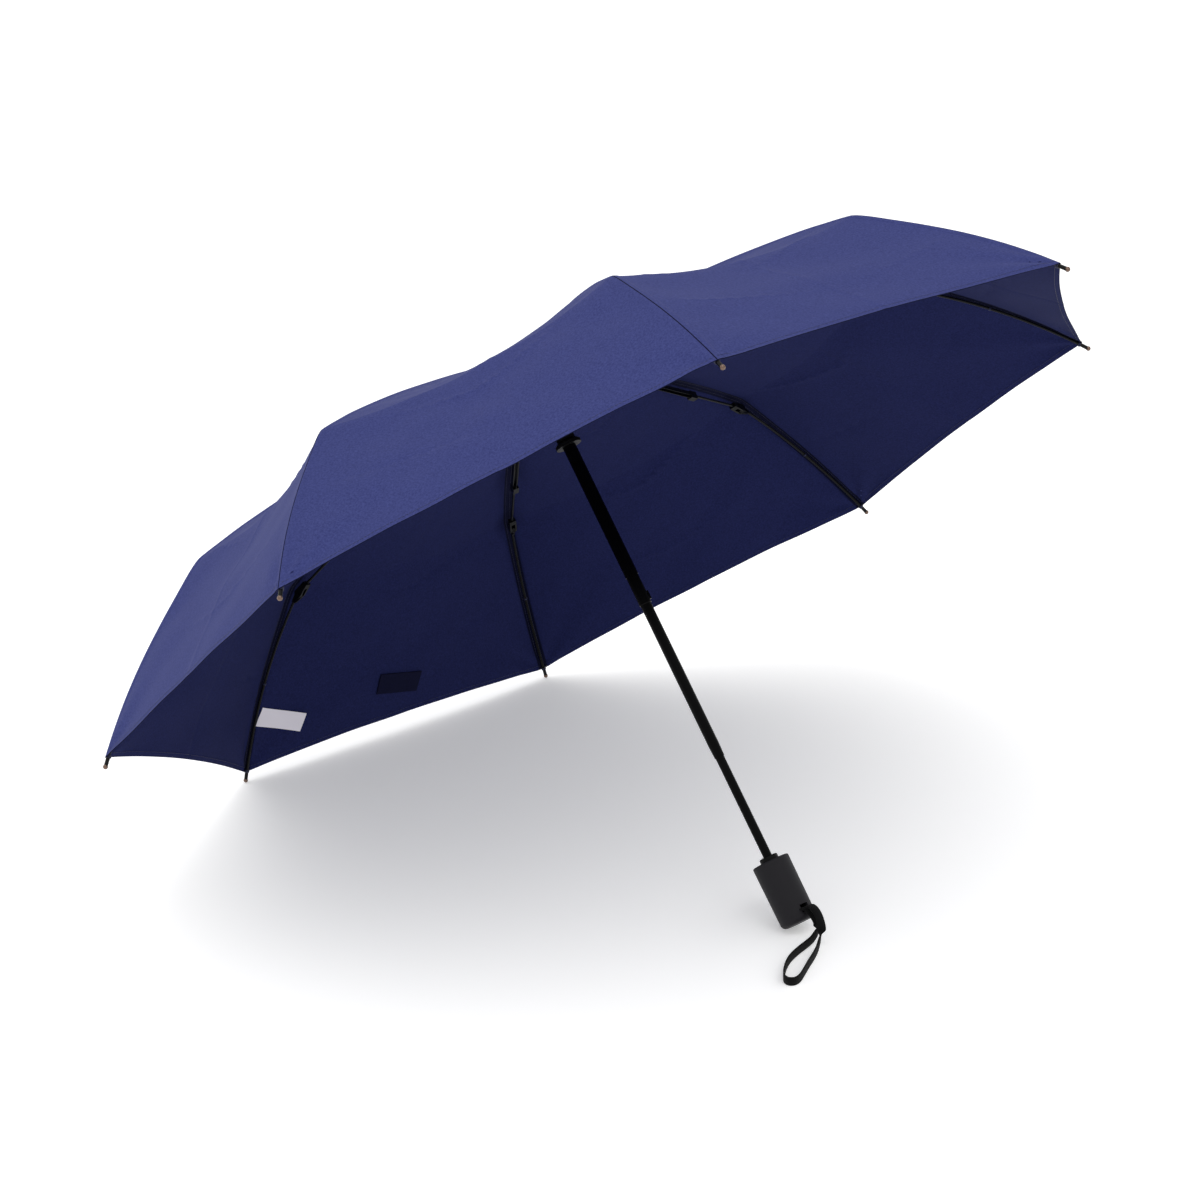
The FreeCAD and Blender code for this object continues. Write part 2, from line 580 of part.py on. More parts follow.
turned("handle_plug",
       [("0", "grip_low"), ("plug_r", "grip_low"), ("plug_r", "grip_low + grip_round + 0.05"),
        ("grip_foot_r - grip_wall - 0.3", "grip_low + grip_round + 0.05"),
        ("grip_foot_r - grip_wall - 0.3", "grip_low + plug_thick + 0.4"),
        ("0", "grip_low + plug_thick + 0.4")])
turned("push_button",
       [("0", "collar_r + button_seat"), ("button_r + 0.9", "collar_r + button_seat"),
        ("button_r + 0.9", "collar_r + button_seat + 0.9"), ("button_r", "collar_r + button_seat + 0.9"),
        ("button_r", "grip_r + button_proud - 0.6"),
        ("button_r - 0.6", "grip_r + button_proud"), ("0", "grip_r + button_proud")], LYING * BUTTON_POSE)


def coil(name, radius, wire, pitch, start, height, where):
    """A round-wire coil spring."""
    helix = Part.makeHelix(pitch, height, radius)
    ring = Part.Wire([Part.makeCircle(wire, V(radius, 0, 0), AXIS_Y)])
    spring = Part.Wire(helix.Edges).makePipeShell([ring], True, True)
    made = doc.addObject("Part::Feature", name + "_coil")
    made.Shape = spring
    keep(name, made, where * place(z=start))


BUTTON_WIRE = 0.25
coil("button_spring", 2.4, BUTTON_WIRE, 0.75, value("collar_r") + BUTTON_WIRE + 0.05,
     value("button_seat") - 2 * BUTTON_WIRE - 0.1, LYING * BUTTON_POSE)
DRIVE_WIRE = 0.5
DRIVE_R = value("top_tube_bore") - 0.4 - DRIVE_WIRE
coil("drive_spring", DRIVE_R, DRIVE_WIRE, 8.7, value("mid_tube_top") + DRIVE_WIRE + 0.1,
     value("top_tube_top") - value("mid_tube_top") - 2 * DRIVE_WIRE - 0.2, LYING)

turned("collar_pin",
       [("0", "-collar_pin_len"), ("collar_pin_r", "-collar_pin_len"), ("collar_pin_r", "0.04"),
        ("collar_pin_r + 0.2", "0.04"), ("collar_pin_r + 0.1", "0.5"), ("collar_pin_r - 0.3", "0.8"),
        ("0", "0.95")], LYING * COLLAR_PIN_POSE)
strap_pin = doc.addObject("Part::Cylinder", "strap_pin_rod")
bind(strap_pin, Radius="strap_pin_r", Height="strap_pin_len")
keep("strap_pin", strap_pin,
     LYING * place(-value("strap_pin_out"), value("strap_pin_len") / 2, value("slot_z"), AXIS_X, 90))


# ---------------------------------------------------------------- cloth
def rod_point(share, lift):
    """A point on the outer rib's centre line, moved off towards the cloth."""
    slope = math.radians(OUTER_SLOPE)
    length = value("outer_len")
    along = share * length
    up = value("pivot_offset") + 4 * value("rod_bow") * share * (1 - share) + lift
    return (KNEE[0] + along * math.cos(slope) - up * math.sin(slope),
            KNEE[1] + along * math.sin(slope) + up * math.cos(slope))


# cloth along a rib: point in the rib's plane, and how far the gore sags inwards halfway to the next rib
CLOTH_LINE = [((value("cloth_hole_r"), 190), 0), ((50, 188), 1.5), ((110, 182), 4), ((176, 172.5), 6),
              ((230, 163.5), 7), ((290, 151), 8), ((322, 142.5), 9),
              (rod_point(0.04, 10), 9), (rod_point(0.16, 7.6), 8.5), (rod_point(0.32, 5.6), 7.5),
              (rod_point(0.5, 4.4), 6), (rod_point(0.68, 3.6), 4.5), (rod_point(0.84, 3), 3),
              (rod_point(0.965, 2.7), 1.5)]
ACROSS = 6


def gore_grid(lift):
    """Points of one gore, from the crown to the rim and from rib to rib, lift above its inner face."""
    rows = []
    half = math.radians(RIB_STEP / 2)
    last = len(CLOTH_LINE) - 1
    for k, ((r, z), sag) in enumerate(CLOTH_LINE):
        (ra, za), _ = CLOTH_LINE[max(k - 1, 0)]
        (rb, zb), _ = CLOTH_LINE[min(k + 1, last)]
        slope = math.atan2(zb - za, (rb - ra) * math.cos(half))
        row = []
        for j in range(ACROSS + 1):
            share = j / ACROSS
            bow = 4 * share * (1 - share)
            inward = lift - value("cloth_thick") - sag * bow
            pull = value("rim_sag") * bow if k == last else 0
            out = r * math.cos(half) - inward * math.sin(slope) - pull * math.cos(slope)
            up = z + inward * math.cos(slope) - pull * math.sin(slope)
            seam = r * math.cos(half) - (lift - value("cloth_thick")) * math.sin(slope)
            side = (seam * math.tan(half) - value("seam_gap")) * (2 * share - 1)
            row.append(V(out, side, up))
        rows.append(row)
    return rows


def closed_sheet(lower, upper):
    """A closed solid between two grids of points."""
    faces = []

    def quad(a, b, c, d):
        for corners in ((a, b, c), (a, c, d)):
            faces.append(Part.Face(Part.makePolygon([*corners, corners[0]])))

    down, wide = len(lower), len(lower[0])
    for grid in (lower, upper):
        for k in range(down - 1):
            for j in range(wide - 1):
                quad(grid[k][j], grid[k + 1][j], grid[k + 1][j + 1], grid[k][j + 1])
    for k in range(down - 1):
        for j in (0, wide - 1):
            quad(lower[k][j], lower[k + 1][j], upper[k + 1][j], upper[k][j])
    for j in range(wide - 1):
        for k in (0, down - 1):
            quad(lower[k][j], lower[k][j + 1], upper[k][j + 1], upper[k][j])
    solid = Part.Solid(Part.Shell(faces))
    if solid.Volume < 0:
        solid.reverse()
    return solid


GORE = closed_sheet(gore_grid(0), gore_grid(value("cloth_thick")))
for i in RIBS:
    gore = doc.addObject("Part::Feature", f"gore_{i + 1}_sheet")
    gore.Shape = GORE.copy()
    keep(f"canopy_gore_{i + 1}", gore, LYING * place(angle=rib_angle(i) + RIB_STEP / 2))


def spot_on(grid, out, side):
    """The point of a gore's grid at a distance out from the shaft and to one side of its middle."""
    middle = ACROSS // 2
    k = next(k for k in range(len(grid) - 1) if grid[k + 1][middle].x >= out)
    down = (out - grid[k][middle].x) / (grid[k + 1][middle].x - grid[k][middle].x)
    reach = grid[k][-1].y * (1 - down) + grid[k + 1][-1].y * down
    across = (side / reach + 1) * ACROSS / 2
    j = min(int(across), ACROSS - 1)
    share = across - j
    near = grid[k][j] * (1 - share) + grid[k][j + 1] * share
    far = grid[k + 1][j] * (1 - share) + grid[k + 1][j + 1] * share
    return near * (1 - down) + far * down


def patch(name, gore_number, out, side, turn):
    """A rectangle of cloth that follows the inside of a gore; turned by an angle from level."""
    kind = name.split("_")[0]
    wide, high, thick = value(kind + "_wide"), value(kind + "_high"), value(kind + "_thick")
    cos, sin = math.cos(math.radians(turn)), math.sin(math.radians(turn))
    fall = math.cos(math.radians(OUTER_SLOPE))
    grids = []
    for lift in (-value("patch_gap") - thick, -value("patch_gap")):
        grid = gore_grid(lift)
        grids.append([[spot_on(grid, out - (u * sin + v * cos) * fall, side + u * cos - v * sin)
                       for u in (-wide / 2, -wide / 4, 0, wide / 4, wide / 2)]
                      for v in (high / 2, 0, -high / 2)])
    made = doc.addObject("Part::Feature", name + "_sheet")
    made.Shape = closed_sheet(*grids)
    keep(name, made, LYING * place(angle=rib_angle(gore_number - 1) + RIB_STEP / 2))


# the closure strap and the care label lie on the inside of the gore that rests on the floor
CLOSURE_PLACE = {"gore_number": 7, "out": 416.8, "side": 2.9, "turn": 14.4}
LABEL_PLACE = {"gore_number": 7, "out": 414.2, "side": 142.2, "turn": 25.5}
patch("closure_strap", **CLOSURE_PLACE)
patch("care_label", **LABEL_PLACE)


# ---------------------------------------------------------------- wrist strap
def tube_along(points, diameter):
    """Straight runs joined by tangent arcs, swept with a round section; returns shape, length and radii."""
    edges = []
    radii = []
    start = points[0]
    for k in range(1, len(points) - 1):
        before, here, after = points[k - 1], points[k], points[k + 1]
        into = (here - before).normalize()
        away = (after - here).normalize()
        half_turn = into.getAngle(away) / 2
        cut = 0.45 * min((here - before).Length, (after - here).Length)
        radii.append(cut / math.tan(half_turn))
        first = here - into * cut
        second = here + away * cut
        bulge = (away - into).normalize()
        middle = here + bulge * (radii[-1] / math.cos(half_turn) - radii[-1])
        edges.append(Part.LineSegment(start, first).toShape())
        edges.append(Part.Arc(first, middle, second).toShape())
        start = second
    edges.append(Part.LineSegment(start, points[-1]).toShape())
    spine = Part.Wire(edges)
    ring = Part.Wire([Part.makeCircle(diameter / 2, points[0], points[1] - points[0])])
    return spine.makePipeShell([ring], True, False), spine.Length, radii


def slot_point(out, side):
    """A point level with the strap slot, out from the shaft's axis."""
    return LYING.multVec(V(-out, -side, value("slot_z")))


# the loop leaves the slot, drapes over the handle's foot and lies on the floor on its edge
EXIT = slot_point(20.4, 0)
LOOP = [(9.4, 0.3, 29), (16.2, -0.6, 23.2), (21.2, -3.2, 15.2), (24.6, -9, 8.6), (30.2, -17.6, 4.6),
        (36.6, -28.6, 4), (43, -40.2, 4.1), (49.8, -51.4, 4), (55.4, -61.2, 4), (56.8, -68, 4),
        (53.2, -72.6, 4), (47.4, -72, 4), (40.4, -66, 4), (31, -54.6, 4), (24.2, -43, 4), (19.6, -30, 4),
        (16.6, -18, 4), (14.8, -8.4, 5), (13.4, -1.4, 9.4), (11.6, 1.8, 16), (7.8, 0, 22.4)]
STRAND = 2.1
route = [slot_point(12.3, STRAND), slot_point(20.4, STRAND)]
route += [V(EXIT.x + dx, dy, height) for dx, dy, height in LOOP]
route += [slot_point(20, -STRAND), slot_point(12.3, -STRAND)]
strap_shape, STRAP_LENGTH, strap_radii = tube_along(route, value("strap_dia"))
strap = doc.addObject("Part::Feature", "wrist_strap_tube")
strap.Shape = strap_shape
keep("wrist_strap", strap, place())

# ---------------------------------------------------------------- check and write
doc.recompute()
for obj in doc.Objects:
    if "Invalid" in obj.State or "Error" in obj.State:
        raise ValueError(f"{obj.Name} did not compute: {obj.State}")
for name, obj in parts.items():
    if obj.Shape.isNull() or not obj.Shape.isValid():
        raise ValueError(f"{name} has no valid shape")
    obj.Shape.exportStep(f"parts/{name}.step")
print(len(parts), "nodes; lean", round(LEAN, 3), "lying height", round(LYING.Base.z, 3))
print("slopes", [round(a, 4) for a in (INNER_SLOPE, MID_SLOPE, OUTER_SLOPE, STRUT_SLOPE)],
      "stretcher", round(STRUT_LEN, 3))
section = math.pi * value("strap_dia") ** 2 / 4
print("strap length", round(STRAP_LENGTH, 1), "volume / (section x length)",
      round(strap_shape.Volume / (section * STRAP_LENGTH), 4))
print("strap radii", [round(r, 1) for r in strap_radii])
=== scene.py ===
import math

import bmesh
import bpy
import numpy as np
from mathutils import Matrix, Vector


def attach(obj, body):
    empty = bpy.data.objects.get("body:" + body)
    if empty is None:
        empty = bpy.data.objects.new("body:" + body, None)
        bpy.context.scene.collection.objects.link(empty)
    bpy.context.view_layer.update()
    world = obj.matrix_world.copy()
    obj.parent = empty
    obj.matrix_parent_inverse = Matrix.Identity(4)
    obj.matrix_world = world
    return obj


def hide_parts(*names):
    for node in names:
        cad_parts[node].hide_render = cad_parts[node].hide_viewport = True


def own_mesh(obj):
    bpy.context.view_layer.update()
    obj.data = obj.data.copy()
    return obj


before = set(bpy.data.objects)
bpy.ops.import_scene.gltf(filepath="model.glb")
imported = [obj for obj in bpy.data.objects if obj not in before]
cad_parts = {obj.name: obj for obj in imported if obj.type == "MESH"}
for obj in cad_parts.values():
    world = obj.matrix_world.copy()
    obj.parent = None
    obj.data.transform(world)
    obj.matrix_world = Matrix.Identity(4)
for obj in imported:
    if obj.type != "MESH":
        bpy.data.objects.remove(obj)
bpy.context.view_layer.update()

bl_info = {
    "name": "Folding Umbrella",
    "version": (1, 0, 0),
    "blender": (4, 5, 0),
    "location": "View3D > Sidebar > Umbrella",
    "description": "Cloth, stitching, strap, finishes and stage of a folding umbrella",
    "category": "Object",
}

# ---------------------------------------------------------------- the umbrella's own frame
# z along the shaft towards the crown, z = 0 at the plane of the rib tips, in millimetres;
# x towards the side that lies on the floor.
MM = 0.001
RIBS = 8
HALF = math.pi / RIBS
LEAN = math.radians(39.68435)
LYING_HEIGHT = 290.0958
TO_ROW = np.array([
    [-math.cos(LEAN), 0, -math.sin(LEAN)],
    [0, -1, 0],
    [-math.sin(LEAN), 0, math.cos(LEAN)],
])


def to_row(points):
    """Millimetres in the umbrella's frame to metres in the row frame."""
    return (np.asarray(points, float) @ TO_ROW.T + [0, 0, LYING_HEIGHT]) * MM


def rib_angle(rib):
    """Angle of a rib about the shaft; gore n lies between ribs n and n + 1, counted from 1."""
    return 2 * HALF * (rib + 0.5)


def turned(points, angle):
    """Points turned about the shaft."""
    c, s = math.cos(angle), math.sin(angle)
    return np.asarray(points, float) @ np.array([[c, s, 0], [-s, c, 0], [0, 0, 1]])


# ---------------------------------------------------------------- mesh helpers
def placed(name, data):
    """A new object in the scene."""
    obj = bpy.data.objects.new(name, data)
    bpy.context.scene.collection.objects.link(obj)
    return obj


def as_mesh(curve_object):
    """The mesh that a curve object makes; the curve goes."""
    bpy.context.view_layer.update()
    graph = bpy.context.evaluated_depsgraph_get()
    mesh = bpy.data.meshes.new_from_object(curve_object.evaluated_get(graph))
    bpy.data.curves.remove(curve_object.data)
    return mesh


def mesh_object(name, points, faces, material=None, smooth=True):
    """A mesh object at the origin, from points in the row frame."""
    mesh = bpy.data.meshes.new(name)
    mesh.from_pydata([tuple(p) for p in points], [], [tuple(int(v) for v in f) for f in faces])
    mesh.validate()
    mesh.update()
    if smooth:
        mesh.shade_smooth()
    if material is not None:
        mesh.materials.append(material)
    return placed(name, mesh)


def grid_faces(rows, columns, first=0, flip=False, closed=False):
    """Quads over a grid of vertices."""
    last = columns if closed else columns - 1
    out = []
    for r in range(rows - 1):
        for c in range(last):
            a = first + r * columns + c
            b = first + r * columns + (c + 1) % columns
            quad = (a, a + columns, b + columns, b)
            out.append(quad[::-1] if flip else quad)
    return out


def joined(parts):
    """Several (points, faces) lists as one."""
    points, faces, shift = [], [], 0
    for some, quads in parts:
        points.extend(list(some))
        faces.extend([tuple(v + shift for v in q) for q in quads])
        shift += len(some)
    return np.array(points), faces


def sheet_faces(rows, columns):
    """Faces of a closed sheet: its two grids of vertices, and the edge that joins them."""
    layer = rows * columns
    faces = grid_faces(rows, columns) + grid_faces(rows, columns, layer, flip=True)
    ring = ([c for c in range(columns)] + [r * columns + columns - 1 for r in range(1, rows)]
            + [(rows - 1) * columns + c for c in range(columns - 2, -1, -1)]
            + [r * columns for r in range(rows - 2, 0, -1)])
    edge = [(a, b, b + layer, a + layer) for a, b in zip(ring, ring[1:] + ring[:1])]
    return faces, edge


# a direction that no ring's axis takes
ASKEW = (0.3, 0.5, 0.81)


def ring_mesh(centre, axis, radius, thread, turns=20, around=6):
    """A small ring of thread; centre and axis in one frame, sizes in the same unit."""
    axis = np.asarray(axis, float) / np.linalg.norm(axis)
    side = np.cross(axis, ASKEW)
    side /= np.linalg.norm(side)
    other = np.cross(axis, side)
    points = []
    for k in range(turns):
        a = 2 * math.pi * k / turns
        out = math.cos(a) * side + math.sin(a) * other
        for m in range(around):
            b = 2 * math.pi * m / around
            points.append(centre + out * (radius + thread * math.cos(b))
                          + axis * thread * math.sin(b))
    faces = []
    for k in range(turns):
        for m in range(around):
            n, o = (k + 1) % turns, (m + 1) % around
            faces.append((k * around + m, n * around + m, n * around + o, k * around + o))
    return np.array(points), faces


def smoothstep(x):
    """A smooth rise from 0 to 1 as x goes from 0 to 1."""
    x = np.clip(x, 0, 1)
    return x * x * (3 - 2 * x)


def spline(points, steps):
    """Catmull-Rom through points, rows of numbers, with a fixed number of steps in each span."""
    p = np.asarray(points, float)
    p = np.vstack([2 * p[0] - p[1], p, 2 * p[-1] - p[-2]])
    out = []
    for k in range(1, len(p) - 2):
        for t in np.arange(steps) / steps:
            a, b, c, d = p[k - 1], p[k], p[k + 1], p[k + 2]
            out.append(0.5 * (2 * b + (c - a) * t + (2 * a - 5 * b + 4 * c - d) * t ** 2
                              + (3 * b - a - 3 * c + d) * t ** 3))
    out.append(p[-2])
    return np.array(out)


# ---------------------------------------------------------------- materials
def linear(code):
    """An sRGB hex colour as linear RGBA."""
    values = [int(code[k:k + 2], 16) / 255 for k in (1, 3, 5)]
    return tuple(v / 12.92 if v <= 0.04045 else ((v + 0.055) / 1.055) ** 2.4
                 for v in values) + (1.0,)


def colour_of(name):
    """A colour of the settings as linear RGBA."""
    return (*getattr(bpy.context.scene.umbrella.colours, name), 1.0)


def add(tree, kind, inputs=None, **settings):
    """A node with its settings and input values."""
    node = tree.nodes.new(kind)
    for key, value in settings.items():
        setattr(node, key, value)
    for key, value in (inputs or {}).items():
        node.inputs[key].default_value = value
    return node


def new_material(name, colour, roughness, **shader_inputs):
    """A material with a principled shader, from a linear RGBA; also its tree and its shader."""
    material = bpy.data.materials.new(name)
    material.use_nodes = True
    tree = material.node_tree
    shader = tree.nodes["Principled BSDF"]
    shader.inputs["Base Color"].default_value = colour
    shader.inputs["Roughness"].default_value = roughness
    for key, value in shader_inputs.items():
        shader.inputs[key].default_value = value
    return material, tree, shader


def in_millimetres(tree):
    """Object coordinates scaled to millimetres."""
    coords = add(tree, "ShaderNodeTexCoord")
    scale = add(tree, "ShaderNodeVectorMath", operation="SCALE", inputs={"Scale": 1000.0})
    tree.links.new(coords.outputs["Object"], scale.inputs[0])
    return scale.outputs[0]


def noise(tree, where, size, detail=2.0):
    """Noise with features of a size in millimetres."""
    node = add(tree, "ShaderNodeTexNoise", inputs={"Scale": 1.0 / size, "Detail": detail})
    tree.links.new(where, node.inputs["Vector"])
    return node.outputs["Fac"]


def tinted(tree, shader, factor, dark, light):
    """Base colour between two linear RGBA colours by a factor."""
    mix = add(tree, "ShaderNodeMix", data_type="RGBA")
    # sockets 6 and 7 are the two colours and output 2 the mixed one, when the data are RGBA
    mix.inputs[6].default_value = dark
    mix.inputs[7].default_value = light
    tree.links.new(factor, mix.inputs[0])
    tree.links.new(mix.outputs[2], shader.inputs["Base Color"])


def bumped(tree, shader, height, depth, strength=0.5):
    """Relief from a height; depth in millimetres."""
    bump = add(tree, "ShaderNodeBump", inputs={"Strength": strength, "Distance": depth * MM})
    tree.links.new(height, bump.inputs["Height"])
    tree.links.new(bump.outputs["Normal"], shader.inputs["Normal"])


# polyester pongee: features of the mottle and of the thread relief, and the relief's depth, in mm
MOTTLE_SIZE = 1.6
THREAD_SIZE = 0.9
THREAD_DEPTH = 0.12


def pongee(name, colours, roughness, sheen, passes):
    """Woven polyester pongee; colours names its two shades, passes is the light let through."""
    dark, light = colour_of(colours + "_dark"), colour_of(colours + "_light")
    material, tree, shader = new_material(
        name, light, roughness, **{"Sheen Weight": sheen, "Sheen Roughness": 0.35, "IOR": 1.5,
                                   "Specular IOR Level": 0.08})
    shader.inputs["Sheen Tint"].default_value = colour_of("sheen")
    where = in_millimetres(tree)
    tinted(tree, shader, noise(tree, where, MOTTLE_SIZE, 3.0), dark, light)
    bumped(tree, shader, noise(tree, where, THREAD_SIZE, 4.0), THREAD_DEPTH, 0.35)
    through = add(tree, "ShaderNodeBsdfTranslucent", inputs={"Color": colour_of("shining_through")})
    mix = add(tree, "ShaderNodeMixShader", inputs={"Fac": passes})
    out = tree.nodes["Material Output"]
    tree.links.new(shader.outputs[0], mix.inputs[1])
    tree.links.new(through.outputs[0], mix.inputs[2])
    tree.links.new(mix.outputs[0], out.inputs["Surface"])
    return material


def grained(name, colour, roughness, size, detail, depth, strength, **shader_inputs):
    """A material with a fine relief of noise; size and depth in millimetres."""
    material, tree, shader = new_material(name, colour_of(colour), roughness, **shader_inputs)
    bumped(tree, shader, noise(tree, in_millimetres(tree), size, detail), depth, strength)
    return material


def woven_tape():
    """Polyester webbing: fine ribs across the tape catch the light as a row of small steps."""
    material, tree, shader = new_material("woven_tape_black", colour_of("tape"), 0.8,
                                          **{"Sheen Weight": 0.02, "Specular IOR Level": 0.1})
    wave = add(tree, "ShaderNodeTexWave", bands_direction="X",
               inputs={"Scale": 1.0, "Distortion": 0.4})
    uv = add(tree, "ShaderNodeUVMap", uv_map="tape")
    tree.links.new(uv.outputs[0], wave.inputs["Vector"])
    bumped(tree, shader, wave.outputs["Fac"], 0.15, 0.6)
    return material


def make_materials():
    """All finishes by name."""
    return {
        # calendered outer face: a faint mottle of the weave under a soft, slightly bright bloom
        "pongee_outside": pongee("polyester_pongee_navy", "outside", 0.78, 0.06, 0.03),
        # the reverse of the cloth: the same pongee in darker colours, painted shade for the inside
        # of the canopy, and quite matt
        "pongee_inside_painted_shade": pongee("polyester_pongee_navy_reverse_painted_shade", "inside", 0.9, 0.0, 0.02),
        # hook and loop on doubled cloth: a patch without shine, darker than its gore
        "closure": pongee("hook_and_loop_navy", "closure", 0.9, 0.0, 0.0),
        # seams: inside, the overlocked doubled seam allowance in colours darker than the single
        # cloth; outside, a thin dark line along each rib, painted shadow in the seam's valley; both
        # draw out the gores
        "seam": pongee("seam_allowance_and_painted_shade_navy", "seam", 0.9, 0.0, 0.0),
        # polyester thread: small dull dashes beside the seams and the hem
        "thread": new_material("polyester_thread_navy", colour_of("thread"), 0.6)[0],
        # gloss lacquer on drawn tube: near black, with a narrow highlight that wavers slightly
        "lacquer": grained("black_lacquered_steel", "lacquer", 0.2, 6.0, 2.0, 0.02, 0.2,
                           **{"Specular IOR Level": 0.06, "IOR": 1.5}),
        # black zinc coat on the ribs: a dull metal edge light, broken by a fine grain
        "rib_steel": grained("black_coated_rib_steel", "rib_steel", 0.35, 1.5, 2.0, 0.02, 0.3,
                             **{"Specular IOR Level": 0.15, "IOR": 1.5}),
        # bright spring wire: small sharp glints
        "wire": new_material("bright_spring_steel", colour_of("wire"), 0.24, Metallic=1.0)[0],
        # nickel plate on the rib tips: a warm grey bead with one highlight
        "tip": new_material("nickel_plated_brass", colour_of("tip"), 0.3, Metallic=1.0)[0],
        # moulded acetal of the crown, the runner and the button: black with a waxy, wide highlight
        "plastic": new_material("moulded_acetal_black", colour_of("plastic"), 0.45,
                                **{"Specular IOR Level": 0.12, "IOR": 1.48})[0],
        # soft-touch paint on the handle: charcoal, matt, with a faint tooth under grazing light
        "soft_touch": grained("soft_touch_coating_black", "soft_touch", 0.6, 0.35, 3.0, 0.03, 0.3,
                              **{"Sheen Weight": 0.03, "Specular IOR Level": 0.2, "IOR": 1.45}),
        "tape": woven_tape(),
        # satin label cloth with nothing on it: a bright, slightly uneven white
        "label": grained("satin_label_white", "label", 0.6, 0.5, 3.0, 0.06, 0.4,
                         **{"Sheen Weight": 0.2}),
    }


FINISH = {}


def finish_of(word):
    """A finish by name; all of them are made at the first call."""
    if not FINISH:
        FINISH.update(make_materials())
    return FINISH[word]


# ---------------------------------------------------------------- the cloth's shape
TIP_OUT = 488.0
KNEE = (337.0, 125.0)
OUTER_SLOPE = math.radians(-40.49535)
PIVOT_OFFSET = 3.0
OUTER_LEN = math.sqrt((TIP_OUT - KNEE[0]) ** 2 + KNEE[1] ** 2 - PIVOT_OFFSET ** 2)
ROD_BOW = 9.0


def rod_point(share, lift):
    """A point on the outer rib's centre line, moved off towards the cloth."""
    along = share * OUTER_LEN
    up = PIVOT_OFFSET + 4 * ROD_BOW * share * (1 - share) + lift
    c, s = math.cos(OUTER_SLOPE), math.sin(OUTER_SLOPE)
    return KNEE[0] + along * c - up * s, KNEE[1] + along * s + up * c


# cloth over a rib: distance out, height, and how far a gore sags halfway to the next rib
CLOTH_LINE = [(7.6, 190, 0), (50, 188, 2.5), (110, 182, 7), (176, 172.5, 11), (230, 163.5, 13.5),
              (290, 151, 14), (322, 142.7, 14), (337, 138.5, 14), (344.5, 135.8, 14),
              (*rod_point(0.06, 9.6), 14), (*rod_point(0.16, 7.6), 13.5),
              (*rod_point(0.32, 5.6), 12), (*rod_point(0.5, 4.4), 9.5), (*rod_point(0.68, 3.6), 7),
              (*rod_point(0.84, 3), 4.5), (*rod_point(0.965, 2.7), 2)]
# the same line in small steps, and the length along it
FINE = spline(CLOTH_LINE, 24)
ALONG = np.concatenate([[0], np.cumsum(np.hypot(*np.diff(FINE[:, :2], axis=0).T))])
CLOTH_LENGTH = float(ALONG[-1])
# where the cloth passes from one rib segment to the next: at the elbow and just past the knee
ELBOW_CUT = float(np.interp(176, FINE[:, 0], ALONG))
KNEE_CUT = float(np.interp(343, FINE[:, 0], ALONG))
# how far the hem curves in halfway between two tips, and how far up the gore that reaches
RIM_PULL = 7.0
PULL_REACH = 110.0
CLOTH_THICK = 0.4
# the outer face lies this far from the fitted line
CLOTH_LEVEL = -0.05
HEM_WIDE = 6.0
HEM_EXTRA = 0.35
SEAM_WIDE = 5.5
SEAM_LIFT = 0.35
SEAM_STEP = 0.9
# loose waves: how many are summed, their sizes in mm and one turn of the sine
WAVE_COUNT = 6
WAVE_SIZES = (55, 130)
WAVE_TURN = 6.28
# folds pressed in between the folded ribs: length at the gore's middle, length at its seams, depth
FOLDS = ((ELBOW_CUT + 42, ELBOW_CUT + 4, 0.8), (KNEE_CUT + 34, KNEE_CUT - 20, 1.0),
         (KNEE_CUT + 118, KNEE_CUT + 86, 0.6))
FOLD_WIDE = 3.2
CREASE_WIDE = 3.0
# pulls at a tip: how far they reach into the gore
TIP_PULL_REACH = 60
# steps for the slope of the line and for the normal, in mm
SLOPE_STEP = 1.5
NORMAL_STEP = 0.6


def line_at(length):
    """Distance out, height and sag of the cloth at a length from its hole."""
    return tuple(np.interp(length, ALONG, FINE[:, k]) for k in range(3))


def half_width(length):
    """Half a gore's width at a length from the hole."""
    return line_at(length)[0] * math.sin(HALF)


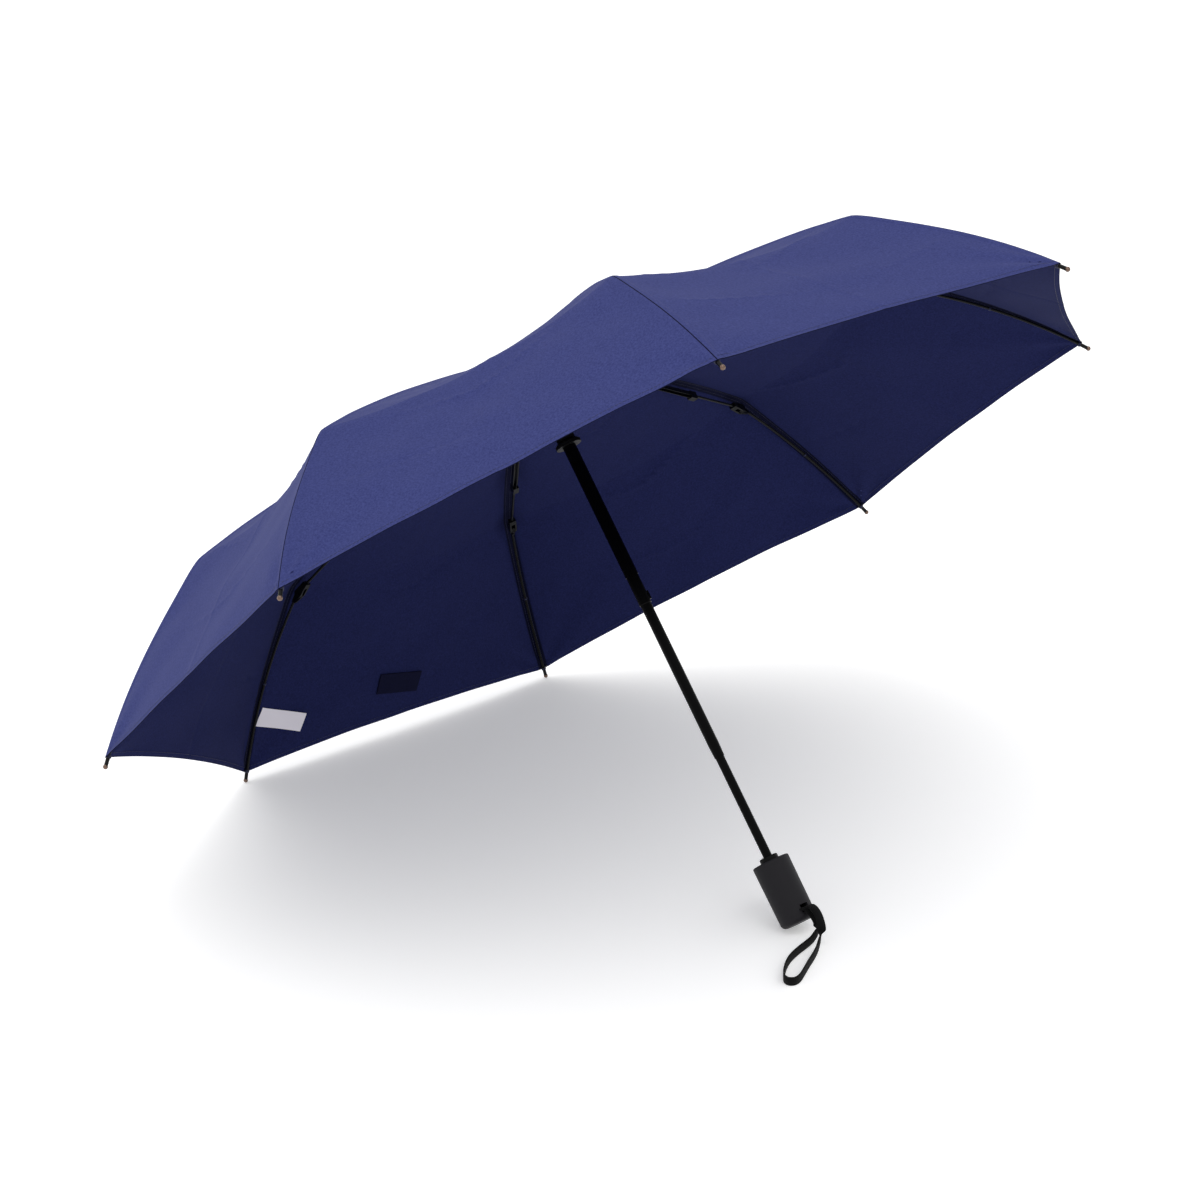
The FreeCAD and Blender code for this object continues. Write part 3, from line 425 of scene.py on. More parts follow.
def relief(length, share, gore, settings):
    """Seams, fold lines and small pulls, in millimetres outwards."""
    width = 2 * half_width(length)
    edge = np.minimum(share, 1 - share) * width
    raised = (SEAM_LIFT * smoothstep(edge / SEAM_STEP)
              * (1 - smoothstep((edge - SEAM_WIDE) / SEAM_STEP)))
    free = smoothstep((edge - 3) / 25)
    rng = np.random.default_rng(settings.seed + gore)
    wave = np.zeros_like(length)
    side = (share - 0.5) * width
    for _ in range(WAVE_COUNT):
        a, b, phase = rng.uniform(-1, 1), rng.uniform(0.4, 1), rng.uniform(0, WAVE_TURN)
        size = rng.uniform(*WAVE_SIZES)
        wave = wave + np.sin((side * a + length * b) * WAVE_TURN / size + phase) / WAVE_COUNT
    folds = np.zeros_like(length)
    for apex, shoulder, depth in FOLDS:
        apex += rng.uniform(-12, 12)
        lean = rng.uniform(-10, 10)
        skew = 2 * share - 1
        line = apex + (shoulder - apex) * np.abs(skew) ** 1.15 + lean * skew
        gap = np.abs(length - line)
        fade = (smoothstep((edge - 8) / 40)
                * (0.55 + 0.45 * np.sin(skew * 4 + rng.uniform(0, 6))))
        folds = folds + depth * rng.choice([-1, 1]) * np.exp(-gap / FOLD_WIDE) * fade
    # the crease down the gore's middle
    aside = np.abs(side + rng.uniform(-6, 6) + 0.03 * (length - 300))
    folds = folds + (0.5 * np.exp(-aside / CREASE_WIDE)
                     * smoothstep((length - ELBOW_CUT) / 60) * 0.8)
    # pulls that run from each tip into the gore
    pulls = np.zeros_like(length)
    down = CLOTH_LENGTH - length
    for corner in (0.0, 1.0):
        across = np.abs(share - corner) * width
        reach = np.hypot(across, down)
        angle = np.arctan2(across, down)
        count = rng.uniform(5, 8)
        pulls = pulls + (np.sin(angle * count + rng.uniform(0, 6))
                         * np.exp(-reach / TIP_PULL_REACH) * smoothstep(reach / 25))
    return (raised + settings.waves * wave * free + settings.folds * folds
            + settings.pulls * pulls * smoothstep(edge / 5))


def cloth(length, share, gore, settings, level=0.0):
    """Points of a gore's outer face; x runs along the gore's middle, share from seam to seam."""
    length = np.asarray(length, float)
    share = np.asarray(share, float)
    bow = 4 * share * (1 - share)
    pull = RIM_PULL * bow * smoothstep((length - (CLOTH_LENGTH - PULL_REACH)) / PULL_REACH)
    at = length - pull
    r, z, sag = line_at(at)
    ra, za, _ = line_at(at - SLOPE_STEP)
    rb, zb, _ = line_at(at + SLOPE_STEP)
    slope = np.arctan2(zb - za, (rb - ra) * math.cos(HALF))
    lift = -sag * bow + relief(length, share, gore, settings) + level
    out = r * math.cos(HALF) - lift * np.sin(slope)
    up = z + lift * np.cos(slope)
    side = r * math.sin(HALF) * (2 * share - 1)
    return np.stack([out, side, up], axis=-1)


def cloth_normal(length, share, gore, settings):
    """Unit normals of a gore's outer face, outwards."""
    sway = NORMAL_STEP / np.maximum(2 * half_width(length), 4)
    a = (cloth(length + NORMAL_STEP, share, gore, settings)
         - cloth(length - NORMAL_STEP, share, gore, settings))
    low, high = np.clip(share - sway, 0, 1), np.clip(share + sway, 0, 1)
    b = cloth(length, high, gore, settings) - cloth(length, low, gore, settings)
    n = np.cross(a, b)
    n /= np.maximum(np.linalg.norm(n, axis=-1, keepdims=True), 1e-9)
    return n


# rib segments: from and to in length of cloth, and the share of its width that it keeps when folded
SEGMENTS = (("inner", 0.0, ELBOW_CUT, 0.06), ("mid", ELBOW_CUT, KNEE_CUT, 0.045),
            ("outer", KNEE_CUT, CLOTH_LENGTH, 0.03))
# columns of vertices beside a seam, in mm from it
SEAM_COLUMNS = (0.0, 0.5, 1.0, 3.0, 5.4, 6.0, 6.6, 8.0)


def strip_lengths(start, end, spacing):
    """Row positions, closer together at the hem."""
    stop = end - 2 * HEM_WIDE if end >= CLOTH_LENGTH else end
    rows = list(np.linspace(start, stop, max(3, round((stop - start) / spacing) + 1)))
    if stop < end:
        rows += [end - HEM_WIDE - 2, end - HEM_WIDE - 0.4, end - HEM_WIDE, end - HEM_WIDE + 1.2,
                 end - 2.4, end - 0.8, end]
    return np.array(rows)


def beside(rib, side):
    """The gore on one side of a rib."""
    return rib if side > 0 else (rib - 2) % RIBS + 1


def strip_side(rib, side, rows, settings):
    """Points and normals of the outer face on one side of a rib, from the rib to mid-gore."""
    gore = beside(rib, side)
    width = half_width(rows)
    seams = len(SEAM_COLUMNS)
    total = seams + settings.columns
    shares = []
    for k in range(total):
        if k < seams:
            edge = np.minimum(SEAM_COLUMNS[k], width * k / total)
        else:
            begun = np.minimum(SEAM_COLUMNS[-1], width * (seams - 1) / total)
            edge = begun + (width - begun) * (k - seams + 1) / settings.columns
        shares.append(edge / (2 * width))
    share = np.stack(shares, axis=1)
    if side < 0:
        share = 1 - share
    length = np.repeat(rows[:, None], share.shape[1], axis=1)
    points = cloth(length, share, gore, settings, CLOTH_LEVEL)
    normals = cloth_normal(length, share, gore, settings)
    turn = rib_angle(gore) + HALF
    return turned(points, turn), turned(normals, turn)


def strip_grid(rib, start, end, settings):
    """Outer points and normals of the cloth around one rib, from mid-gore to mid-gore."""
    rows = strip_lengths(start, end, settings.spacing)
    left = strip_side(rib, -1, rows, settings)
    right = strip_side(rib, 1, rows, settings)
    seam = left[1][:, :1] + right[1][:, :1]
    seam /= np.linalg.norm(seam, axis=-1, keepdims=True)
    points = np.concatenate([left[0][:, :0:-1], right[0]], axis=1)
    normals = np.concatenate([left[1][:, :0:-1], seam, right[1][:, 1:]], axis=1)
    return rows, points, normals


def cloth_strip(rib, kind, start, end, settings):
    """One closed sheet of cloth around a rib's segment, and the area of its outer face."""
    rows, points, normals = strip_grid(rib, start, end, settings)
    thick = CLOTH_THICK + HEM_EXTRA * smoothstep((rows - (CLOTH_LENGTH - HEM_WIDE)) / 0.4)
    inner = points - normals * thick[:, None, None]
    n, m = points.shape[:2]
    layer = n * m
    both = np.vstack([to_row(points.reshape(-1, 3)), to_row(inner.reshape(-1, 3))])
    faces, edge = sheet_faces(n, m)
    obj = mesh_object(f"cloth_{kind}_{rib}", both, faces + edge)
    mesh = obj.data
    for word in ("pongee_outside", "pongee_inside_painted_shade", "seam"):
        mesh.materials.append(finish_of(word))
    half = len(faces) // 2
    index = np.zeros(len(mesh.polygons), np.int32)
    # the inner faces take the reverse's finish, darker as painted shade
    index[half:] = 1
    # columns count from the rib: outside, the sewn line takes the seam finish as painted shadow of
    # the seam's valley; inside, the doubled edges take it as the darker seam allowance
    from_rib = np.abs(np.arange(m - 1) + 0.5 - (m - 1) / 2)
    index[:half][np.tile(from_rib < 1, n - 1)] = 2
    index[half:2 * half][np.tile(from_rib < 4, n - 1)] = 2
    index[2 * half:] = 2
    mesh.polygons.foreach_set("material_index", index)
    # the shading normals run on across the edge to the next strip, and the edge itself is flat
    outward = normals.reshape(-1, 3) @ TO_ROW.T
    loops = np.zeros(len(mesh.loops), np.int32)
    mesh.loops.foreach_get("vertex_index", loops)
    custom = np.where(loops[:, None] < layer, outward[loops % layer], -outward[loops % layer])
    flat = np.zeros(len(mesh.polygons) * 3)
    mesh.polygons.foreach_get("normal", flat)
    custom[mesh.polygons[len(faces)].loop_start:] = np.repeat(
        flat.reshape(-1, 3)[len(faces):], 4, axis=0)
    mesh.normals_split_custom_set([tuple(v) for v in custom])
    area = float(sum(p.area for p in list(mesh.polygons)[:half]))
    return obj, area


def follow(obj, rib, kind):
    """Ride on a rib's segment, in a mesh of its own."""
    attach(obj, f"{kind}_{rib}")
    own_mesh(obj)
    return obj


# ---------------------------------------------------------------- stitches
def stitch_group():
    """Geometry nodes: thread stitches at even steps along curves."""
    tree = bpy.data.node_groups.new("thread_stitches", "GeometryNodeTree")
    face = tree.interface
    face.new_socket("Geometry", in_out="INPUT", socket_type="NodeSocketGeometry")
    for name, default in (("Pitch", 0.0032), ("Stitch Length", 0.0024), ("Thread Radius", 0.00022)):
        socket = face.new_socket(name, in_out="INPUT", socket_type="NodeSocketFloat")
        socket.default_value = default
    face.new_socket("Material", in_out="INPUT", socket_type="NodeSocketMaterial")
    face.new_socket("Geometry", in_out="OUTPUT", socket_type="NodeSocketGeometry")
    start = add(tree, "NodeGroupInput")
    points = add(tree, "GeometryNodeCurveToPoints", mode="LENGTH")
    align = add(tree, "FunctionNodeAlignRotationToVector", axis="Z")
    rod = add(tree, "GeometryNodeMeshCylinder", inputs={"Vertices": 5})
    place = add(tree, "GeometryNodeInstanceOnPoints")
    real = add(tree, "GeometryNodeRealizeInstances")
    paint = add(tree, "GeometryNodeSetMaterial")
    end = add(tree, "NodeGroupOutput")
    for a, given, b, taken in (
            (start, "Geometry", points, "Curve"), (start, "Pitch", points, "Length"),
            (points, "Points", place, "Points"), (points, "Tangent", align, "Vector"),
            (align, "Rotation", place, "Rotation"), (start, "Stitch Length", rod, "Depth"),
            (start, "Thread Radius", rod, "Radius"), (rod, "Mesh", place, "Instance"),
            (place, "Instances", real, "Geometry"), (real, "Geometry", paint, "Geometry"),
            (start, "Material", paint, "Material"), (paint, "Geometry", end, "Geometry")):
        tree.links.new(a.outputs[given], b.inputs[taken])
    return tree


def stitched(name, lines, settings):
    """A mesh of stitches along lines of points in the row frame."""
    curve = bpy.data.curves.new(name + "_lines", "CURVE")
    curve.dimensions = "3D"
    for line in lines:
        run = curve.splines.new("POLY")
        run.points.add(len(line) - 1)
        run.points.foreach_set("co", np.hstack([line, np.ones((len(line), 1))]).ravel())
    holder = placed(name + "_lines", curve)
    tree = bpy.data.node_groups.get("thread_stitches") or stitch_group()
    modifier = holder.modifiers.new("stitches", "NODES")
    modifier.node_group = tree
    values = {"Pitch": settings.pitch, "Stitch Length": settings.length,
              "Thread Radius": settings.radius, "Material": finish_of("thread")}
    for item in tree.interface.items_tree:
        if item.item_type == "SOCKET" and item.in_out == "INPUT" and item.name in values:
            modifier[item.identifier] = values[item.name]
    mesh = as_mesh(holder)
    mesh.name = name
    return placed(name, mesh)


def cloth_line_at(rib, side, lengths, edges, level, settings):
    """A line on the cloth beside a rib, at a distance from its seam; positive level is outside."""
    gore = beside(rib, side)
    share = edges / (2 * half_width(lengths))
    share = share if side > 0 else 1 - share
    points = cloth(lengths, share, gore, settings, CLOTH_LEVEL)
    normals = cloth_normal(lengths, share, gore, settings)
    return to_row(turned(points + normals * level, rib_angle(gore) + HALF))


# ---------------------------------------------------------------- operators
def owner(context):
    """The umbrella's settings in the scene."""
    return context.scene.umbrella


def colour(name, description, code):
    """A colour property with an sRGB hex default."""
    return bpy.props.FloatVectorProperty(name=name, description=description, subtype="COLOR",
                                         size=3, min=0, max=1, default=linear(code)[:3])


class ColourSettings(bpy.types.PropertyGroup):
    outside_dark: colour("Outside Dark", "Darker shade of the cloth's outer face", "#1f2450")
    outside_light: colour("Outside Light", "Lighter shade of the cloth's outer face", "#444b83")
    # the reverse's two colours are darker than the outer face's: painted shade for the inside of
    # the canopy
    inside_dark: colour("Inside Dark", "Darker shade of the cloth's reverse", "#0f122f")
    inside_light: colour("Inside Light", "Lighter shade of the cloth's reverse", "#242a5a")
    closure_dark: colour("Closure Dark", "Darker shade of the closure strap", "#0a0c22")
    closure_light: colour("Closure Light", "Lighter shade of the closure strap", "#10122d")
    # the seams' colours: painted shadow along the seam's valley outside, the doubled seam allowance
    # inside
    seam_dark: colour("Seam Dark", "Darker shade of the seams", "#090b20")
    seam_light: colour("Seam Light", "Lighter shade of the seams", "#10132e")
    sheen: colour("Sheen", "Tint of the cloth's sheen", "#6a70b8")
    shining_through: colour("Shining Through", "Light that comes through the cloth", "#2a3480")
    thread: colour("Thread", "Sewing thread", "#161a3c")
    lacquer: colour("Lacquer", "Lacquer on the tubes", "#020203")
    rib_steel: colour("Rib Steel", "Coat of the ribs and stretchers", "#060709")
    wire: colour("Wire", "Springs and pins", "#c9c9cc")
    tip: colour("Tip", "Plating of the rib tips", "#6f5c52")
    plastic: colour("Plastic", "Crown, runner, button and handle core", "#050506")
    soft_touch: colour("Soft Touch", "Paint of the handle", "#1a191d")
    tape: colour("Tape", "Webbing of the wrist strap", "#0b0b0c")
    label: colour("Label", "Cloth of the care label", "#dfdbe4")


def number(name, description, default, **more):
    """A number property."""
    return bpy.props.FloatProperty(name=name, description=description, default=default, **more)


def nested(kind, name, description):
    """A group of settings inside another."""
    return bpy.props.PointerProperty(type=kind, name=name, description=description)


class ClothSettings(bpy.types.PropertyGroup):
    spacing: number("Row Spacing", "Distance between rows of the cloth in millimetres", 4.5,
                    min=1.0, max=40.0)
    columns: bpy.props.IntProperty(
        name="Columns", description="Columns from a seam to the middle of a gore",
        default=30, min=4, max=80)
    waves: number("Waves", "Height of the loose waves in millimetres", 1.6)
    folds: number("Folds", "Strength of the pressed fold lines", 1.4)
    pulls: number("Pulls", "Height of the pulls at the tips in millimetres", 1.4)
    seed: bpy.props.IntProperty(
        name="Seed", description="Changes the waves and folds", default=11)


class StitchSettings(bpy.types.PropertyGroup):
    pitch: number("Pitch", "Distance from stitch to stitch", 0.0032, unit="LENGTH", precision=4)
    length: number("Length", "Length of one stitch", 0.0024, unit="LENGTH", precision=4)
    radius: number("Radius", "Radius of the thread", 0.00018, unit="LENGTH", precision=5)


class StrapSettings(bpy.types.PropertyGroup):
    width: number("Width", "Width of the tape", 0.008, unit="LENGTH")
    thickness: number("Thickness", "Thickness of the tape", 0.0014, unit="LENGTH", precision=4)


class StageSettings(bpy.types.PropertyGroup):
    key: number("Key Light", "Power of the key light in watts", 22.0)
    fill: number("Fill Light", "Power of the fill light in watts", 8.0)
    sky: number("Sky", "Strength of the surroundings", 1.0)
    glow: number("Floor Glow", "Light of the lit floor itself", 0.3)
    floor: bpy.props.FloatVectorProperty(
        name="Floor", description="Colour of the floor", subtype="COLOR",
        default=(0.92, 0.92, 0.92))


class UmbrellaSettings(bpy.types.PropertyGroup):
    colours: nested(ColourSettings, "Colours", "Colours of cloth, metal and plastic")
    cloth: nested(ClothSettings, "Cloth", "The canopy's cloth")
    stitches: nested(StitchSettings, "Stitches", "Seams and hem")
    strap: nested(StrapSettings, "Strap", "The wrist strap")
    stage: nested(StageSettings, "Stage", "Light and floor")


# the camera: lens in mm, place in metres and its directions
LENS = 90.13
SENSOR_WIDTH = 36
CAMERA_PLACE = (1.90831, -1.59143, 1.24264)
CAMERA_FORWARD = (-0.71653, 0.58896, -0.37378)
CAMERA_RIGHT = (0.64190, 0.76644, -0.02283)


class UMBRELLA_OT_camera(bpy.types.Operator):
    """Place the camera"""

    bl_idname = "umbrella.camera"
    bl_label = "Camera"

    def execute(self, context):
        data = bpy.data.cameras.new("camera")
        data.sensor_width = SENSOR_WIDTH
        data.lens = LENS
        camera = placed("camera", data)
        forward = Vector(CAMERA_FORWARD).normalized()
        right = Vector(CAMERA_RIGHT)
        right = (right - forward * right.dot(forward)).normalized()
        up = right.cross(forward)
        camera.matrix_world = Matrix.Translation(CAMERA_PLACE) @ Matrix(
            (right, up, -forward)).transposed().to_4x4()
        data.clip_start = 0.1
        data.clip_end = 100
        context.scene.camera = camera
        return {"FINISHED"}


# the strap's route: out of the slot, over the handle's foot, in a loop on the floor and back; mm
STRAP_ROUTE = [
    (236.80, 2.1, 23.99), (243.03, 2.1, 29.16), (252.43, 0.3, 29.0), (259.23, -0.6, 23.2),
    (264.23, -3.2, 15.2), (267.63, -9.0, 8.6), (273.23, -17.6, 4.6), (279.63, -28.6, 4.0),
    (286.03, -40.2, 4.1), (292.83, -51.4, 4.0), (298.43, -61.2, 4.0), (299.83, -68.0, 4.0),
    (296.23, -72.6, 4.0), (290.43, -72.0, 4.0), (283.43, -66.0, 4.0), (274.03, -54.6, 4.0),
    (267.23, -43.0, 4.0), (262.63, -30.0, 4.0), (259.63, -18.0, 4.0), (257.83, -8.4, 5.0),
    (256.43, -1.4, 9.4), (254.63, 1.8, 16.0), (250.83, 0.0, 22.4), (242.72, -2.1, 28.90),
    (236.80, -2.1, 23.99),
]
# the tape's width lies across the slot where it leaves the handle, and stands on edge on the floor
TAPE_TWIST_HEIGHTS = (5.0, 26.0)
# the tape's section, in halves of its width and thickness
TAPE_SECTION = ((1, 0.35), (0.93, 1), (0, 1.12), (-0.93, 1), (-1, 0.35), (-1, -0.35),
                (-0.93, -1), (0, -1.12), (0.93, -1), (1, -0.35))


def smooth_route(points):
    """Points along the smooth line of a route, in metres."""
    curve = bpy.data.curves.new("strap_route", "CURVE")
    curve.dimensions = "3D"
    curve.resolution_u = 8
    run = curve.splines.new("NURBS")
    run.points.add(len(points) - 1)
    for point, place in zip(run.points, points):
        point.co = (*[c * MM for c in place], 1)
    run.order_u = 3
    run.use_endpoint_u = True
    mesh = as_mesh(placed("strap_route", curve))
    line = np.array([v.co for v in mesh.vertices])
    bpy.data.meshes.remove(mesh)
    return line


class UMBRELLA_OT_strap(bpy.types.Operator):
    """Make the wrist strap of woven tape"""

    bl_idname = "umbrella.strap"
    bl_label = "Wrist Strap"

    def execute(self, context):
        settings = owner(context).strap
        line = smooth_route(STRAP_ROUTE)
        low, high = TAPE_TWIST_HEIGHTS
        level = smoothstep((line[:, 2] / MM - low) / (high - low))[:, None]
        across = level * np.array([0, 1, 0]) + (1 - level) * np.array([0, 0, 1])
        along = np.gradient(line, axis=0)
        along /= np.linalg.norm(along, axis=1, keepdims=True)
        across = across - along * (across * along).sum(1, keepdims=True)
        across /= np.linalg.norm(across, axis=1, keepdims=True)
        flat = np.cross(along, across)
        wide, thick = settings.width / 2, settings.thickness / 2
        points = np.concatenate([(line + across * wide * a + flat * thick * b)[:, None]
                                 for a, b in TAPE_SECTION], axis=1)
        n, m = points.shape[:2]
        faces = grid_faces(n, m, closed=True)
        faces += [tuple(range(m)), tuple((n - 1) * m + c for c in range(m - 1, -1, -1))]
        obj = mesh_object("wrist_tape", points.reshape(-1, 3), faces, finish_of("tape"))
        run = np.concatenate([[0], np.cumsum(np.linalg.norm(np.diff(line, axis=0), axis=1))]) / MM
        layer = obj.data.uv_layers.new(name="tape")
        loops = np.zeros(len(obj.data.loops), np.int32)
        obj.data.loops.foreach_get("vertex_index", loops)
        uv = np.stack([run[loops // m], (loops % m).astype(float)], axis=1)
        layer.data.foreach_set("uv", uv.ravel())
        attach(obj, "grip")
        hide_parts("wrist_strap")
        return {"FINISHED"}


class UMBRELLA_OT_canopy(bpy.types.Operator):
    """Stretch the cloth over the ribs, in one strip for each segment of each rib"""

    bl_idname = "umbrella.canopy"
    bl_label = "Canopy"

    def execute(self, context):
        settings = owner(context).cloth
        for rib in range(1, RIBS + 1):
            for kind, start, end, keep in SEGMENTS:
                obj, area = cloth_strip(rib, kind, start, end, settings)
                follow(obj, rib, kind)
                if kind == "outer":
                    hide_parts(f"canopy_gore_{rib}")
        return {"FINISHED"}


# sewing, in mm: where the seams' stitches start, their distance from the rib, the step between the
# points of a line, the hem's line from the edge, and how far thread stands off the cloth
SEWN_FROM = 26
SEWN_ASIDE = 2.6
SEWN_STEP = 6
HEM_LINE = 4.5
THREAD_OFF = 0.06
SEAM_THREAD_OFF = 0.08


class UMBRELLA_OT_stitches(bpy.types.Operator):
    """Sew the seams inside the ribs' cloth and the hem at the rim"""

    bl_idname = "umbrella.stitches"
    bl_label = "Stitches"

    def execute(self, context):
        sewing = owner(context).stitches
        cloth_settings = owner(context).cloth
        for rib in range(1, RIBS + 1):
            for kind, start, end, keep in SEGMENTS:
                first = max(start, SEWN_FROM)
                last = end - HEM_WIDE if kind == "outer" else end - 1
                count = max(4, round((last - first) / SEWN_STEP))
                lengths = np.linspace(first, last, count)
                aside = np.full_like(lengths, SEWN_ASIDE)
                lines = [cloth_line_at(rib, side, lengths, aside, -CLOTH_THICK - SEAM_THREAD_OFF,
                                       cloth_settings) for side in (-1, 1)]
                if kind == "outer":
                    edges = np.linspace(4, float(half_width(CLOTH_LENGTH - HEM_LINE)), 60)
                    at = np.full_like(edges, CLOTH_LENGTH - HEM_LINE)
                    for side in (-1, 1):
                        for level in (THREAD_OFF, -CLOTH_THICK - HEM_EXTRA - THREAD_OFF):
                            lines.append(
                                cloth_line_at(rib, side, at, edges, level, cloth_settings))
                obj = stitched(f"stitches_{kind}_{rib}", lines, sewing)
                follow(obj, rib, kind)
        return {"FINISHED"}


# patches on the inside of a gore: the gore, the rib that carries them, and for each one its place
# (distance out and aside in mm, turn in degrees) and its size in mm
PATCH_GORE = 7
PATCH_RIB = 8
CLOSURE_PLACE, CLOSURE_SIZE = (416.8, 2.9, 14.4), (52, 24)
LABEL_PLACE, LABEL_SIZE = (414.2, 142.2, 25.5), (52, 20)
PATCH_OFF = 0.5
PATCH_GRID = (25, 13)


def on_gore(gore, place, size, level, settings):
    """A grid on the inside of a gore around a place, its normals and its coordinate across."""
    out, side, turn = place
    lengths = np.linspace(0, CLOTH_LENGTH, 800)
    outs = cloth(lengths, np.full_like(lengths, 0.5), gore, settings)[:, 0]
    centre = float(np.interp(out, outs, lengths))
    wide, high = size
    u, v = np.meshgrid(np.linspace(-wide / 2, wide / 2, PATCH_GRID[0]),
                       np.linspace(high / 2, -high / 2, PATCH_GRID[1]))
    c, s = math.cos(math.radians(turn)), math.sin(math.radians(turn))
    length = centre - (u * s + v * c)
    aside = side + u * c - v * s
    share = 0.5 + aside / (2 * half_width(length))
    points = cloth(length, share, gore, settings, CLOTH_LEVEL)
    normals = cloth_normal(length, share, gore, settings)
    return points + normals * level, normals, u


def patch_sheet(name, place, size, thick, curl, finish, context):
    """A closed rectangle of cloth on the inside of a gore; curl gives its rise in mm."""
    settings = owner(context).cloth
    points, normals, u = on_gore(PATCH_GORE, place, size, -CLOTH_THICK - PATCH_OFF, settings)
    points = points - normals * curl(u / size[0])[..., None]
    inner = points - normals * thick
    turn = rib_angle(PATCH_GORE) + HALF
    both = np.vstack([to_row(turned(side.reshape(-1, 3), turn)) for side in (points, inner)])
    faces, edge = sheet_faces(*points.shape[:2])
    return mesh_object(name, both, faces + edge, finish_of(finish), smooth=False)


class UMBRELLA_OT_patches(bpy.types.Operator):
    """Sew the closure strap and the blank care label to the inside of the low gore"""

    bl_idname = "umbrella.patches"
    bl_label = "Closure and Label"

    def execute(self, context):
        closure = patch_sheet("closure_band", CLOSURE_PLACE, CLOSURE_SIZE, 1.2, np.zeros_like,
                              "closure", context)
        follow(closure, PATCH_RIB, "outer")
        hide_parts("closure_strap")
        label = patch_sheet("blank_label", LABEL_PLACE, LABEL_SIZE, 0.25,
                            lambda u: 2.2 * (0.5 - u) ** 2 + 0.3 * np.sin(u * 6),
                            "label", context)
        follow(label, PATCH_RIB, "outer")
        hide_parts("care_label")
        return {"FINISHED"}


# thread ties: share of the outer rib, turns and radius; then the thread's radius and turn spacing
TIES = ((0.955, 4, 2.1), (0.5, 3, 1.75))
TIE_THREAD = 0.3
TIE_STEP = 0.62


class UMBRELLA_OT_ties(bpy.types.Operator):
    """Tie the cloth to the ribs with thread at the tips and along the outer ribs"""

    bl_idname = "umbrella.ties"
    bl_label = "Thread Ties"

    def execute(self, context):
        for rib in range(1, RIBS + 1):
            parts = []
            for share, turns, radius in TIES:
                a, b = np.array(rod_point(share - 0.01, 0)), np.array(rod_point(share + 0.01, 0))
                way = (b - a) / np.linalg.norm(b - a)
                for k in range(turns):
                    centre = (a + b) / 2 + way * (k - turns / 2) * TIE_STEP
                    # neighbouring turns lean opposite ways
                    axis = np.array([way[0], 0.06 * (-1) ** k, way[1]])
                    parts.append(ring_mesh(np.array([centre[0], 0, centre[1]]), axis, radius,
                                           TIE_THREAD))
            points, faces = joined(parts)
            obj = mesh_object(f"ties_{rib}", to_row(turned(points, rib_angle(rib))), faces,
                              finish_of("thread"))
            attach(obj, f"outer_{rib}")
        return {"FINISHED"}


def paint(node, finishes, rule=None):
    """Give a CAD node its finishes; rule maps face centres in metres to the index of a finish."""
    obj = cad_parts[node]
    mesh = obj.data
    mesh.materials.clear()
    for word in finishes:
        mesh.materials.append(finish_of(word))
    centres = np.zeros(len(mesh.polygons) * 3)
    mesh.polygons.foreach_get("center", centres)
    index = np.zeros(len(mesh.polygons), np.int32)
    if rule is not None:
        index = rule(centres.reshape(-1, 3)).astype(np.int32)
    mesh.polygons.foreach_set("material_index", index)


# faces within this distance of a rib's end, in metres, belong to its plated tip
TIP_BALL = 0.0026


class UMBRELLA_OT_finishes(bpy.types.Operator):
    """Give every CAD piece its finish"""

    bl_idname = "umbrella.finishes"
    bl_label = "Finishes"

    def execute(self, context):
        plain = {
            "lacquer": ["upper_tube", "mid_tube", "lower_tube", "tube_neck"],
            "plastic": ["crown", "top_cap", "runner", "handle_core", "handle_plug", "push_button"],
            "wire": ["collar_pin", "strap_pin"],
            "soft_touch": ["handle_shell"],
        }
        for word, nodes in plain.items():
            for node in nodes:
                paint(node, [word])
        for rib in range(1, RIBS + 1):
            paint(f"inner_rib_{rib}", ["rib_steel"])
            paint(f"stretcher_{rib}", ["rib_steel"])
            tip = to_row(turned([[TIP_OUT, 0, 0]], rib_angle(rib)))[0]
            paint(f"outer_rib_{rib}", ["rib_steel", "tip"],
                  lambda c, tip=tip: np.linalg.norm(c - tip, axis=1) < TIP_BALL)
            paint(f"mid_rib_{rib}", ["rib_steel"])
        return {"FINISHED"}


def spring_copy(name, node, body):
    """A copy of a CAD spring, riding on a body in a mesh of its own; axis and anchor as in the
    shaft.
    """
    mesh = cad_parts[node].data.copy()
    mesh.name = name
    shape = bmesh.new()
    shape.from_mesh(mesh)
    bmesh.ops.remove_doubles(shape, verts=shape.verts, dist=1e-6)
    bmesh.ops.recalc_face_normals(shape, faces=shape.faces)
    shape.to_mesh(mesh)
    shape.free()
    mesh.materials.clear()
    mesh.materials.append(finish_of("wire"))
    obj = placed(name, mesh)
    obj.matrix_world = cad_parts[node].matrix_world
    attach(obj, body)
    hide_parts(node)
    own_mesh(obj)
    return obj


class UMBRELLA_OT_springs(bpy.types.Operator):
    """Wind the springs that shorten in the shaft and behind the button"""

    bl_idname = "umbrella.springs"
    bl_label = "Springs"

    def execute(self, context):
        spring_copy("shaft_spring", "drive_spring", "shaft")
        spring_copy("release_spring", "button_spring", "grip")
        return {"FINISHED"}


FLOOR_SIZE = 12.0
FLOOR_DROP = 0.0002


def lamp(name, place, target, size, power):
    """A round area light at a place, turned to a target."""
    data = bpy.data.lights.new(name, "AREA")
    data.shape = "DISK"
    data.size = size
    data.energy = power
    light = placed(name, data)
    light.location = place
    light.rotation_euler = (Vector(target) - Vector(place)).to_track_quat("-Z", "Y").to_euler()


